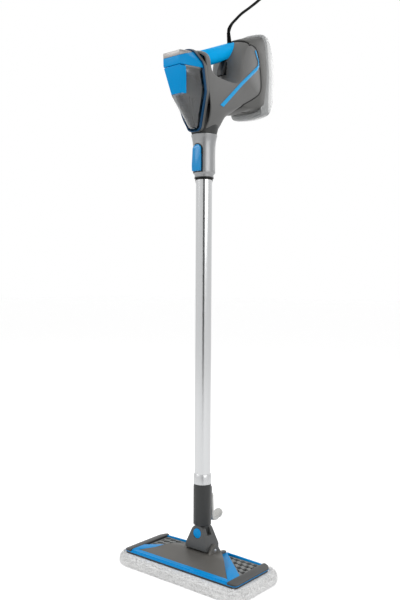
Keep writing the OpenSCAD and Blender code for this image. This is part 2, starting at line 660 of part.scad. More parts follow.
module accent() translate([hand_w + 0.02, 0, 0]) rotate([90, 0, 90]) linear_extrude(1)
    polygon([[0, 58], [11, 56], [78, 116], [133, 161], [139.5, 171], [137.5, 183], [126, 204], [122.5, 201], [135, 182],
        [135.5, 174], [130, 168], [72, 121]]);
module right_accent() color(accent_blue) on_hand() accent();
module left_accent() color(accent_blue) on_hand() mirror([1, 0, 0]) accent();

module grip() color(blue) on_hand() difference() {
    grip_bar();
    trigger_room();
    gland_axis() cylinder(h = 80, r = 7, center = true);
    seat_cut(-bezel_t);
}

// frame and back wall of the tank seat
module head_bezel() color(charcoal) on_hand() on_seat() translate([0, 0, part_gap - bezel_t]) difference() {
    linear_extrude(bezel_t - part_gap) shield();
    translate([0, 0, wall]) linear_extrude(bezel_t) shield(10);
    translate([0, inlet_v, -1]) cylinder(h = 8, r = 5);
}
// raised rim round the foot of the tank, low behind the band and the top plate
module tank_trim() color(dark_blue) on_hand() difference() {
    intersection() {
        on_seat() linear_extrude(6.5) shield(0.4);
        union() {
            slice(-20, band_z0 - 2);
            on_seat() translate([-60, -40, 0]) cube([120, 240, 2.2]);
        }
    }
    on_seat() translate([0, 0, -1]) linear_extrude(10) shield(2.8);
}

module neck_socket() color(charcoal) on_hand() difference() {
    rotate_extrude() polygon([[0, 0.4], [26, 0.4], [socket_r, 17], [socket_r, 60], [0, 60]]);
    translate([0, 0, -1]) cylinder(h = 42, r = 18.4);
    translate([0, 0, -1]) cylinder(h = 56, r = 14.4);
    translate([0, 0, -1]) cylinder(h = 70, r = nozzle_r);
    seat_cut(-bezel_t);
}

// upright plate in the parting plane that carries the inner parts
module chassis() color(light_grey) on_hand() difference() {
    rotate([90, 0, 90]) linear_extrude(3, center = true)
        polygon(moved_in(smooth_ring(FRONT_CORE, 3), wall + 0.1));
    seat_cut(-bezel_t);
    grip_bar(0.1);
    translate([-60, -60, -10]) cube([120, 110, 71]);
    boiler_place() cylinder(h = boiler_h, r = boiler_r);
    pump_place() cylinder(h = pump_h, r = pump_r, center = true);
    trigger_room();
    switch_place() cube([16, 10, 20]);
    translate([0, 0, 50]) cylinder(h = 14, r = 12);
    translate([-8, gland_y - 12, gland_z - 34]) cube([16, 24, 60]);
    inlet_place() cylinder(h = 14, r = 5);
}
boiler_r = 19;
boiler_h = 29;
pump_r = 15;
pump_h = 48;
nozzle_r = 6;
inlet_v = 66;
module boiler_place() translate([0, 10, 64]) children();
module pump_place() translate([0, 102, 117]) rotate([90, 0, 0]) children();
module switch_place() translate([-8, 77.6, 150]) children();
module inlet_place() on_seat() translate([0, inlet_v, -bezel_t - 11]) children();

module boiler() color(silver) on_hand() boiler_place() difference() {
    cylinder(h = boiler_h, r = boiler_r);
    translate([0, 0, 3]) cylinder(h = boiler_h - 6, r = boiler_r - 3);
}
module pump() color(mid_grey) on_hand() pump_place() cylinder(h = pump_h, r = pump_r, center = true);
module control_board() color("darkgreen") on_hand() translate([1.5, 114, 158]) rotate([90, 0, 90])
    linear_extrude(1.6) rounded_rect(46, 50, 3);
module trigger_switch() color(black) on_hand() switch_place() cube([16, 10, 20]);
module steam_nozzle() color("#b08a4a") on_hand() difference() {
    union() {
        translate([0, 0, 10]) cylinder(h = 51, r = nozzle_r);
        translate([0, 0, 60]) cylinder(h = 4, r = 12);
    }
    translate([0, 0, 4]) cylinder(h = 54, r = 2.4);
}
module water_inlet() color(black) on_hand() inlet_place() difference() {
    cylinder(h = 13.4, r = 5);
    translate([0, 0, 3]) cylinder(h = 14, r = 3.8);
}

module gland_axis() translate([0, gland_y, gland_z]) rotate([gland_lean, 0, 0]) children();
module cord_gland() color(black) on_hand() gland_axis() difference() {
    union() {
        translate([0, 0, -16]) cylinder(h = 18, r = 6.8);
        cylinder(h = gland_len, r1 = 5.2, r2 = cord_d / 2 + 0.7);
    }
}
module shell_screws() color(silver) on_hand() for (p = [[10, 84], [100, 96], [120, 196]])
    translate([-hand_w - 0.6, p[0], p[1]]) rotate([0, 90, 0]) cylinder(h = 0.6, r = 3);

// ---------- trigger ----------
module trigger() color(black) on_hand() difference() {
    union() {
        trigger_pivot() cylinder(h = 15, r = 4, center = true);
        rotate([90, 0, 90]) linear_extrude(15, center = true) hull() {
            translate(TRIGGER_PIVOT) circle(4);
            translate([56, 150]) circle(4);
            translate([54, 140]) circle(3);
        }
    }
    trigger_pivot() cylinder(h = 20, r = 1.5 + fit, center = true);
}
module trigger_pivot() translate([0, TRIGGER_PIVOT[0], TRIGGER_PIVOT[1]]) rotate([0, 90, 0]) children();
module trigger_pin() color(silver) on_hand() trigger_pivot() cylinder(h = 17, r = 1.5, center = true);

// ---------- water tank ----------
module slice(z0, z1) translate([-60, -140, z0]) cube([120, 160, z1 - z0]);
module water_tank() color(clear) on_hand() difference() {
    intersection() {
        tank_form();
        slice(-20, band_z0 - 0.1);
    }
    intersection() {
        tank_form(wall);
        slice(0, band_z0 - 3);
    }
    intersection() {
        flap_zone(0.3);
        slice(flap_z0 - 0.3, band_z0 + 1);
    }
    translate([0, -82, 96]) rotate([90, 0, 0]) cylinder(h = 30, r = 9);
    on_seat() translate([0, inlet_v, -2]) cylinder(h = 8, r = 3.5);
}
module tank_band() color(blue) on_hand() difference() {
    intersection() {
        tank_form();
        slice(band_z0 + 0.1, 200);
    }
    plate_zone();
}
module top_plate() color(silver) on_hand() intersection() {
    tank_form();
    plate_zone(0.1);
}
// stub through the tank's back wall that plugs into the body's water inlet, with a leg down to the bottom
module pickup_tube() color(black) on_hand() on_seat() difference() {
    union() {
        translate([0, inlet_v, -bezel_t]) cylinder(h = bezel_t + 6.5, r = 3.5);
        translate([0, inlet_v + 3, 6.6]) rotate([90, 0, 0]) cylinder(h = inlet_v - 6, r = 3.5);
    }
    translate([0, inlet_v, -bezel_t - 1]) cylinder(h = bezel_t + 8, r = 2);
    translate([0, inlet_v, 6.6]) rotate([90, 0, 0]) cylinder(h = inlet_v, r = 2);
}

// the flap turns on a round knuckle along its top edge
module fill_flap() color(blue) on_hand() {
    intersection() {
        tank_form();
        flap_zone();
        slice(flap_z0, FLAP_PIVOT[1]);
    }
    translate([0, FLAP_PIVOT[0], FLAP_PIVOT[1]]) rotate([0, 90, 0])
        cylinder(h = 2 * RIDGE[1][2] - 4, r = knuckle_r, center = true);
}

// ---------- accessory caddy ----------
shelf_z = 112;
module caddy_form(d = 0) housing(CADDY_CORE, CADDY_CHEEK, d);
module accessory_caddy() color(clear) on_hand() difference() {
    caddy_form();
    difference() {
        caddy_form(wall);
        translate([-60, 140, shelf_z - 2]) cube([120, 80, 2]);
    }
    housing_cutter(REAR_CORE, REAR_CHEEK, 0.4);
}
module brush_tool() color(light_grey) on_hand() translate([16, 185, shelf_z]) {
    cylinder(h = 22, r = 9);
    translate([0, 0, 20]) cylinder(h = 30, r = 5);
}
module nozzle_tool() color(mid_grey) on_hand() translate([-16, 185, shelf_z]) {
    cylinder(h = 42, r = 6);
    translate([0, 0, 40]) cylinder(h = 20, r1 = 6, r2 = 3);
}

mop_pad();
hook_strips();
base_plate();
floor_frame();
floor_cover();
left_grille();
right_grille();
left_end_cap();
right_end_cap();
tilt_pins();
steam_outlet();
base_screws();
yoke();
roll_pin();
pin_caps();
neck_hose();
lower_sleeve();
sleeve_tongue();
pole_ferrule();
pole();
wand_hose();
release_collar();
button_surround();
collar_ring();
steam_spigot();
cord_hank();
hank_tie();
plug();
cord_hook();
release_button();
right_shell();
left_shell();
rear_shell();
seam_gasket();
right_accent();
left_accent();
grip();
head_bezel();
tank_trim();
neck_socket();
chassis();
boiler();
pump();
control_board();
trigger_switch();
trigger_pin();
steam_nozzle();
water_inlet();
cord_gland();
power_cord();
shell_screws();
trigger();
water_tank();
tank_band();
top_plate();
pickup_tube();
fill_flap();
accessory_caddy();
brush_tool();
nozzle_tool();
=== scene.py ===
"""Upright steam mop with a lift-off hand steamer, dressed round its packed construction model.

Each sub-assembly is a class. Its fields are sizes in millimetres in the frame of the model, with the origin
on the floor on the wand's axis, +Z up and -Y to the front. Its methods build and dress its pieces.
"""
from __future__ import annotations

import json
import logging
import math
import random
from dataclasses import dataclass, field
from enum import Enum
from typing import Sequence

import bmesh
import bpy
from mathutils import Matrix, Vector

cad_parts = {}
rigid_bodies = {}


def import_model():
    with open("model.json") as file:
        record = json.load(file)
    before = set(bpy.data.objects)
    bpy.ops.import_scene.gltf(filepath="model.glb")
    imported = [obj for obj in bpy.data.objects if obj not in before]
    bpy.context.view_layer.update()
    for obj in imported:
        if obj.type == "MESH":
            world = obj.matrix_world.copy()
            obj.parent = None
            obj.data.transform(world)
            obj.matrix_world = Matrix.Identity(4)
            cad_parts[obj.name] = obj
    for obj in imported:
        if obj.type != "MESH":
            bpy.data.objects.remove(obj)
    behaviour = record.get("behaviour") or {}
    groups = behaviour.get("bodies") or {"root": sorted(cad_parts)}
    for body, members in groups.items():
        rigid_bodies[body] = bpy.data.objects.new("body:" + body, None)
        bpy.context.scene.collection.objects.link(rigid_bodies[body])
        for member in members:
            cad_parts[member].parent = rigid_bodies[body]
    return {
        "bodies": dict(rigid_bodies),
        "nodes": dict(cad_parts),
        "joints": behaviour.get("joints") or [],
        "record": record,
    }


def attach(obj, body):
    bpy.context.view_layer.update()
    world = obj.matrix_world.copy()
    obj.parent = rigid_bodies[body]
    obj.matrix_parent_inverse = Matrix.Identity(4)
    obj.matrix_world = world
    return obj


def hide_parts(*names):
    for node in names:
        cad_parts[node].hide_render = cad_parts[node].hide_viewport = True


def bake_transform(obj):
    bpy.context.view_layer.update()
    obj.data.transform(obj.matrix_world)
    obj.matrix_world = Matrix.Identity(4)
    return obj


LOG = logging.getLogger("steam_mop")
MM = 0.001
Point = tuple[float, float, float]
Outline = Sequence[tuple[float, float]]
Shade = tuple[bpy.types.Material, bpy.types.Node, bpy.types.NodeTree]


class Body(Enum):
    """The moving bodies of the mop."""

    FOOT = "foot"
    NECK = "neck"
    WAND = "wand"
    HOOK = "hook"
    BUTTON = "button"
    HAND_STEAMER = "hand_steamer"
    TRIGGER = "trigger_lever"
    TANK = "tank"
    FLAP = "flap"
    CADDY = "caddy"


# ---------------------------------------------------------------- colour and shader nodes


def linear(code: str) -> tuple[float, float, float, float]:
    """Turns an sRGB hex colour to linear.

    Args:
        code: colour as "#rrggbb".

    Returns:
        Linear red, green and blue, and an alpha of 1.
    """
    parts = [int(code[i : i + 2], 16) / 255 for i in (1, 3, 5)]
    r, g, b = (c / 12.92 if c <= 0.04045 else ((c + 0.055) / 1.055) ** 2.4 for c in parts)
    return r, g, b, 1.0


def add_node(
    tree: bpy.types.NodeTree, kind: str, values: dict | None = None, links: dict | None = None,
    **settings: object,
) -> bpy.types.Node:
    """Adds a node with its settings, socket values and links.

    Args:
        tree: the node tree.
        kind: the node's type.
        values: input socket name or index to its value.
        links: input socket name or index to the output socket that feeds it.
        **settings: the node's own properties.

    Returns:
        The new node.
    """
    node = tree.nodes.new(kind)
    for key, value in settings.items():
        setattr(node, key, value)
    for key, value in (values or {}).items():
        node.inputs[key].default_value = value
    for key, output in (links or {}).items():
        tree.links.new(output, node.inputs[key])
    return node


def fresh(name: str, **sockets: object) -> Shade:
    """Starts a material with a Principled shader.

    Args:
        name: the material's name.
        **sockets: Principled socket names, with _ for a space, and their values.

    Returns:
        The material, its Principled node and its tree.
    """
    material = bpy.data.materials.new(name)
    material.use_nodes = True
    tree = material.node_tree
    shader = tree.nodes["Principled BSDF"]
    for key, value in sockets.items():
        shader.inputs[key.replace("_", " ")].default_value = value
    return material, shader, tree


def object_coords(tree: bpy.types.NodeTree, stretch: Point = (1.0, 1.0, 1.0)) -> bpy.types.NodeSocket:
    """Object coordinates, scaled by stretch.

    Args:
        tree: the node tree.
        stretch: scale along X, Y and Z.

    Returns:
        The vector socket.
    """
    coords = add_node(tree, "ShaderNodeTexCoord").outputs["Object"]
    if stretch == (1.0, 1.0, 1.0):
        return coords
    return add_node(tree, "ShaderNodeMapping", {"Scale": stretch}, {"Vector": coords}).outputs[0]


def per_metre(size_mm: float) -> float:
    """Texture scale for features of a size in millimetres."""
    return 1000.0 / size_mm


@dataclass(frozen=True)
class Moulded:
    """Injection-moulded plastic with a fine tool texture.

    Sub-millimetre spark grain scatters the light a little, and the melt's flow leaves a faint change of tone
    over some centimetres.
    """

    name: str
    colour: str
    roughness: float = 0.42
    grain_mm: float = 0.9
    flow_mm: float = 45.0
    grain: float = 0.05
    coat: float = 0.0
    mottle: float = 0.05
    specular: float = 0.4

    def material(self) -> bpy.types.Material:
        """Builds the material, or returns the one that was built."""
        if self.name in bpy.data.materials:
            return bpy.data.materials[self.name]
        made, shader, tree = fresh(
            self.name, IOR=1.53, Specular_IOR_Level=self.specular, Coat_Weight=self.coat, Coat_Roughness=0.06
        )
        coords = object_coords(tree)
        flow = add_node(
            tree, "ShaderNodeTexNoise", {"Scale": per_metre(self.flow_mm), "Detail": 2.0}, {"Vector": coords}
        )
        base = linear(self.colour)
        low = tuple(c * (1 - self.mottle) for c in base[:3]) + (1.0,)
        high = tuple(min(1.0, c * (1 + self.mottle)) for c in base[:3]) + (1.0,)
        tone = add_node(
            tree, "ShaderNodeMix", {"A": low, "B": high}, {"Factor": flow.outputs["Fac"]}, data_type="RGBA"
        )
        tree.links.new(tone.outputs["Result"], shader.inputs["Base Color"])
        grain = add_node(
            tree, "ShaderNodeTexNoise", {"Scale": per_metre(self.grain_mm), "Detail": 3.0}, {"Vector": coords}
        )
        rough = add_node(
            tree, "ShaderNodeMapRange", {"To Min": self.roughness - 0.05, "To Max": self.roughness + 0.07},
            {"Value": grain.outputs["Fac"]},
        )
        tree.links.new(rough.outputs["Result"], shader.inputs["Roughness"])
        bump = add_node(
            tree, "ShaderNodeBump", {"Strength": self.grain, "Distance": 0.0003},
            {"Height": grain.outputs["Fac"]},
        )
        tree.links.new(bump.outputs["Normal"], shader.inputs["Normal"])
        return made


@dataclass(frozen=True)
class ClearMoulded:
    """Clear styrene-acrylonitrile moulding: slightly smoky, with gentle ripples left by the mould."""

    name: str
    colour: str
    roughness: float = 0.05
    ripple_mm: float = 26.0
    ior: float = 1.25
    haze: float = 0.0

    def material(self) -> bpy.types.Material:
        """Builds the material, or returns the one that was built."""
        if self.name in bpy.data.materials:
            return bpy.data.materials[self.name]
        made, shader, tree = fresh(
            self.name, IOR=self.ior, Transmission_Weight=1.0 - self.haze, Base_Color=linear(self.colour),
            Coat_Weight=1.0, Coat_Roughness=0.03,
        )
        coords = object_coords(tree)
        ripple = add_node(
            tree, "ShaderNodeTexNoise", {"Scale": per_metre(self.ripple_mm), "Detail": 1.0},
            {"Vector": coords},
        )
        rough = add_node(
            tree, "ShaderNodeMapRange", {"To Min": self.roughness * 0.6, "To Max": self.roughness * 1.5},
            {"Value": ripple.outputs["Fac"]},
        )
        tree.links.new(rough.outputs["Result"], shader.inputs["Roughness"])
        bump = add_node(
            tree, "ShaderNodeBump", {"Strength": 0.12, "Distance": 0.002}, {"Height": ripple.outputs["Fac"]}
        )
        tree.links.new(bump.outputs["Normal"], shader.inputs["Normal"])
        return made


@dataclass(frozen=True)
class Metal:
    """Bare or anodised metal with marks that run one way, as drawing, turning or casting leaves them."""

    name: str
    colour: str
    roughness: float
    stretch: Point = (1.0, 1.0, 1.0)
    mark_mm: float = 1.0
    marks: float = 0.08
    metallic: float = 1.0
    coat: float = 0.0

    def material(self) -> bpy.types.Material:
        """Builds the material, or returns the one that was built."""
        if self.name in bpy.data.materials:
            return bpy.data.materials[self.name]
        made, shader, tree = fresh(
            self.name, Base_Color=linear(self.colour), Metallic=self.metallic, Coat_Weight=self.coat,
            Coat_Roughness=0.05,
        )
        coords = object_coords(tree, self.stretch)
        marks = add_node(
            tree, "ShaderNodeTexNoise", {"Scale": per_metre(self.mark_mm), "Detail": 4.0}, {"Vector": coords}
        )
        rough = add_node(
            tree, "ShaderNodeMapRange", {"To Min": self.roughness - 0.05, "To Max": self.roughness + 0.08},
            {"Value": marks.outputs["Fac"]},
        )
        tree.links.new(rough.outputs["Result"], shader.inputs["Roughness"])
        bump = add_node(
            tree, "ShaderNodeBump", {"Strength": self.marks, "Distance": 0.0002},
            {"Height": marks.outputs["Fac"]},
        )
        tree.links.new(bump.outputs["Normal"], shader.inputs["Normal"])
        return made


@dataclass(frozen=True)
class Microfibre:
    """Split polyester and polyamide pile: white, matt, with sheen at grazing angles and shaded roots."""

    name: str
    colour: str
    shade: str
    clump_mm: float = 3.5
    strand_mm: float = 1.6

    def material(self) -> bpy.types.Material:
        """Builds the material, or returns the one that was built."""
        if self.name in bpy.data.materials:
            return bpy.data.materials[self.name]
        made, shader, tree = fresh(self.name, Roughness=0.95, Sheen_Weight=0.35, Sheen_Roughness=0.5)
        coords = object_coords(tree)
        clumps = add_node(
            tree, "ShaderNodeTexNoise", {"Scale": per_metre(self.clump_mm), "Detail": 4.0}, {"Vector": coords}
        )
        ramp = add_node(
            tree, "ShaderNodeMapRange", {"From Min": 0.32, "From Max": 0.58}, {"Value": clumps.outputs["Fac"]}
        )
        tone = add_node(
            tree, "ShaderNodeMix", {"A": linear(self.shade), "B": linear(self.colour)},
            {"Factor": ramp.outputs["Result"]}, data_type="RGBA",
        )
        tree.links.new(tone.outputs["Result"], shader.inputs["Base Color"])
        strands = add_node(
            tree, "ShaderNodeTexNoise", {"Scale": per_metre(self.strand_mm), "Detail": 5.0},
            {"Vector": object_coords(tree, (1.0, 1.0, 0.35))},
        )
        bump = add_node(
            tree, "ShaderNodeBump", {"Strength": 0.6, "Distance": 0.001}, {"Height": strands.outputs["Fac"]}
        )
        tree.links.new(bump.outputs["Normal"], shader.inputs["Normal"])
        return made


Finish = Moulded | ClearMoulded | Metal | Microfibre

# satin ABS of the body shells and tank bezel: mid grey, soft broad highlights
BODY_GREY = Moulded("moulded_ABS_mid_grey", "#656564", 0.42, specular=0.25)
# the same ABS on the rear housing, painted darker: painted shade over the rear of the body
REAR_GREY_PAINTED_SHADE = Moulded("moulded_ABS_rear_grey", "#4f4f4d", 0.42, specular=0.25)
# ABS of the yoke, the tongue and the button's frame
SHADE_GREY = Moulded("moulded_ABS_deep_grey", "#4d4e4e", 0.42)
# dark sleeve and wand socket: a little rougher, so it stays matt
SLEEVE_GREY = Moulded("moulded_ABS_dark_grey", "#363737", 0.45, specular=0.3)
# slotted windows of the floor head, the palest of the greys
WINDOW_GREY = Moulded("moulded_ABS_window_grey", "#7b7d7c", 0.42)
# roof of the floor head, slightly warm
ROOF_GREY = Moulded("moulded_ABS_warm_grey", "#5d5b57", 0.45)
# end caps and sole: nearly black, with a dull texture
CHARCOAL = Moulded("moulded_ABS_charcoal", "#3f4040", 0.45)
# black ABS of small inner fittings, and of the trigger, whose black is painted shade inside the grip's loop
BLACK = Moulded("moulded_ABS_black", "#121314", 0.5)
# pale ABS of the cord hook, chassis and brush
LIGHT_GREY = Moulded("moulded_ABS_light_grey", "#c9c9c6", 0.4)
# bright blue ABS of the floor head's frame: a polished mould leaves it glossy
BLUE = Moulded("polished_ABS_blue", "#0092da", 0.3, grain=0.02, coat=0.05, specular=0.1, mottle=0.03)
# the tank's cap and flap: the same blue, a shade duller
CAP_BLUE = Moulded(
    "polished_ABS_sky_blue", "#0090d2", 0.36, grain=0.02, coat=0.03, specular=0.08, mottle=0.03
)
# soft-touch rubber over the grip: matt, with a coarser skin
GRIP_BLUE = Moulded(
    "soft_touch_TPE_blue", "#00aef4", 0.45, grain_mm=1.2, grain=0.08, specular=0.05, mottle=0.03
)
# deep translucent blue of the trim round the tank's seat
DEEP_BLUE = Moulded("polished_ABS_deep_blue", "#0b3f63", 0.25, grain=0.02, coat=0.08, specular=0.12)
# light blue accent strip: gloss that catches a thin highlight
ACCENT_BLUE = Moulded("polished_ABS_light_blue", "#15a0e0", 0.24, grain=0.02, coat=0.15, specular=0.2)
# release button: the glossiest piece
BUTTON_BLUE = Moulded("polished_ABS_steel_blue", "#0a88c6", 0.2, grain=0.01, coat=0.2, specular=0.2)
# moulded rubber seals: black and dull
SEAL = Moulded("EPDM_rubber_black", "#060607", 0.6, grain_mm=1.5, grain=0.1, specular=0.2)
# extruded cord sheath: black PVC with hardly any shine
CORD_PVC = Moulded("extruded_PVC_black", "#030303", 0.55, grain_mm=1.4, grain=0.05, specular=0.05)
# steam hose: silicone under a braid, which leaves a coarse grain
HOSE = Moulded("braided_silicone_black", "#1a1a1b", 0.55, grain_mm=1.0, grain=0.2)
# clear styrene-acrylonitrile of the tank, a shade smoky
TANK_CLEAR = ClearMoulded("clear_SAN_smoky", "#c6c9cb")
# the same plastic of the caddy, a little hazy inside
CADDY_CLEAR = ClearMoulded("clear_SAN_hazy", "#b4b6b6", roughness=0.15, haze=0.45, ior=1.2)
# drawn and satin-anodised tube: fine lines along its length
POLE = Metal("satin_anodised_aluminium", "#c4c5c6", 0.2, stretch=(1.0, 1.0, 0.02), mark_mm=0.6, marks=0.04)
# ferrule in silver lacquer over ABS: flakes under a clear coat
SILVER = Metal("silver_lacquered_ABS", "#c4c5c6", 0.34, mark_mm=0.8, marks=0.02, metallic=0.65, coat=0.6)
# collar in a darker, satin lacquer
COLLAR_SILVER = Metal(
    "satin_silver_lacquer", "#939495", 0.36, mark_mm=0.8, marks=0.02, metallic=0.65, coat=0.2
)
# silver top of the tank's cap, polished and slightly warm
TOP_SILVER = Metal(
    "polished_silver_lacquer", "#8f8c8a", 0.38, mark_mm=0.8, marks=0.01, metallic=0.6, coat=0.05
)
# screws and pins: bright zinc plate
STEEL = Metal("zinc_plated_steel", "#b9babc", 0.32)
# steam nozzle: turning marks run round it
BRASS = Metal("turned_brass", "#b58b45", 0.3, stretch=(1.0, 1.0, 6.0))
# boiler: the rough skin of a casting
CAST = Metal("cast_aluminium", "#9c9c9b", 0.55, mark_mm=2.0, marks=0.35)
# control board: green lacquer over copper tracks
BOARD = Moulded("solder_mask_green", "#14502b", 0.3, grain_mm=2.5, coat=0.4)
# mop pad: white pile with faint shade between its tufts
PILE = Microfibre("microfibre_pile_white", "#ffffff", "#f6f6f5")


# ---------------------------------------------------------------- mesh tools


def sharp_edges(bm: bmesh.types.BMesh, least_deg: float) -> list[bmesh.types.BMEdge]:
    """Edges where two faces meet at more than an angle."""
    least = math.radians(least_deg)
    return [e for e in bm.edges if len(e.link_faces) == 2 and e.calc_face_angle(0.0) > least]


def soften(bm: bmesh.types.BMesh, width_mm: float, segments: int = 2, least_deg: float = 32.0) -> None:
    """Rounds the sharp edges, as a mould's do.

    Args:
        bm: the mesh.
        width_mm: the rounding's width.
        segments: the number of faces across it.
        least_deg: edges sharper than this are rounded.
    """
    edges = sharp_edges(bm, least_deg)
    if edges:
        bmesh.ops.bevel(
            bm, geom=edges, offset=width_mm * MM, offset_type="OFFSET", affect="EDGES", segments=segments,
            profile=0.5, clamp_overlap=True, material=-1,
        )
        bmesh.ops.dissolve_degenerate(bm, edges=bm.edges[:], dist=1e-6)


def finish_piece(
    bm: bmesh.types.BMesh, name: str, finish: Finish, replaces: Sequence[str] = (),
    smooth_deg: float = 34.0,
) -> bpy.types.Object:
    """Turns a bmesh into a named piece with its finish.

    Args:
        bm: the mesh, which is freed.
        name: the piece's name.
        finish: its finish.
        replaces: the construction nodes that it stands for.
        smooth_deg: edges flatter than this are shaded smooth.

    Returns:
        The piece, which still has to ride on a body.
    """
    mesh = bpy.data.meshes.new(name)
    bm.to_mesh(mesh)
    bm.free()
    mesh.shade_smooth()
    mesh.set_sharp_from_angle(angle=math.radians(smooth_deg))
    piece = bpy.data.objects.new(name, mesh)
    bpy.context.scene.collection.objects.link(piece)
    mesh.materials.append(finish.material())
    if replaces:
        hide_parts(*replaces)
    return piece


def ride(piece: bpy.types.Object, body: Body) -> bpy.types.Object:
    """Makes a piece move with a body, and logs it.

    Args:
        piece: the piece.
        body: the body it rides on.

    Returns:
        The same piece.
    """
    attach(piece, body.value)
    LOG.info("%s: %d faces on %s", piece.name, len(piece.data.polygons), body.value)
    return piece


def refined(
    frame: dict, node: str, name: str, finish: Finish, body: Body, round_mm: float = 0.7, segments: int = 2,
    least_deg: float = 32.0, smooth_deg: float = 34.0,
) -> bpy.types.Object:
    """Copies a construction node, joins its loose faces and rounds its edges as the real moulding's are.

    Args:
        frame: the loaded frame.
        node: the construction node.
        name: the new piece's name.
        finish: its finish.
        body: the body it rides on.
        round_mm: width of the edge rounding.
        segments: faces across the rounding.
        least_deg: edges sharper than this are rounded.
        smooth_deg: edges flatter than this are shaded smooth.

    Returns:
        The new piece.
    """
    bm = bmesh.new()
    bm.from_mesh(frame["nodes"][node].data)
    bmesh.ops.remove_doubles(bm, verts=bm.verts[:], dist=2e-6)
    if round_mm:
        bmesh.ops.dissolve_limit(bm, angle_limit=math.radians(0.6), verts=bm.verts[:], edges=bm.edges[:])
        soften(bm, round_mm, segments, least_deg)
    bmesh.ops.triangulate(bm, faces=[f for f in bm.faces if len(f.verts) > 4])
    return ride(finish_piece(bm, name, finish, [node], smooth_deg), body)


def dress(frame: dict, finish: Finish, *nodes: str) -> None:
    """Gives construction nodes that stay as they are their finish."""
    for node in nodes:
        piece = frame["nodes"][node]
        piece.data.materials.clear()
        piece.data.materials.append(finish.material())


def carved(
    bm: bmesh.types.BMesh, *cuts: bmesh.types.BMesh, keep: bmesh.types.BMesh | None = None
) -> bmesh.types.BMesh:
    """Cuts a closed mesh with others.

    Args:
        bm: the mesh, which is freed.
        *cuts: what is taken away, each freed.
        keep: a closed mesh outside which nothing is kept, freed.

    Returns:
        The cut mesh.
    """
    made = []
    for index, source in enumerate([bm, *cuts] + ([keep] if keep else [])):
        mesh = bpy.data.meshes.new(f"carve_{index}")
        source.to_mesh(mesh)
        source.free()
        made.append(bpy.data.objects.new(mesh.name, mesh))
        bpy.context.scene.collection.objects.link(made[-1])
    for index, cutter in enumerate(made[1:]):
        cut = made[0].modifiers.new("cut", "BOOLEAN")
        cut.solver = "MANIFOLD"
        cut.operation = "DIFFERENCE" if index < len(cuts) else "INTERSECT"
        cut.object = cutter
    result = bmesh.new()
    result.from_object(made[0], bpy.context.evaluated_depsgraph_get())
    for thing in made:
        mesh = thing.data
        bpy.data.objects.remove(thing)
        bpy.data.meshes.remove(mesh)
    bmesh.ops.remove_doubles(result, verts=result.verts[:], dist=1e-6)
    bmesh.ops.dissolve_degenerate(result, edges=result.edges[:], dist=1e-6)
    return result


def box(size: Point, place: Matrix) -> bmesh.types.BMesh:
    """A box.

    Args:
        size: its sizes in millimetres.
        place: where its middle goes, in metres.

    Returns:
        The box's mesh.
    """
    bm = bmesh.new()
    bmesh.ops.create_cube(bm, size=1.0, matrix=place @ Matrix.Diagonal((*(c * MM for c in size), 1.0)))
    return bm


def rod(radius: float, start: Point, end: Point, steps: int = 72) -> bmesh.types.BMesh:
    """A closed cylinder between two points.

    Args:
        radius: in millimetres.
        start: the middle of one end, in millimetres.
        end: the middle of the other.
        steps: faces round it.

    Returns:
        The cylinder's mesh.
    """
    a, b = Vector(start) * MM, Vector(end) * MM
    bm = bmesh.new()
    bmesh.ops.create_cone(
        bm, cap_ends=True, segments=steps, radius1=radius * MM, radius2=radius * MM, depth=(b - a).length,
        matrix=Matrix.Translation((a + b) / 2) @ (b - a).to_track_quat("Z", "Y").to_matrix().to_4x4(),
    )
    return bm


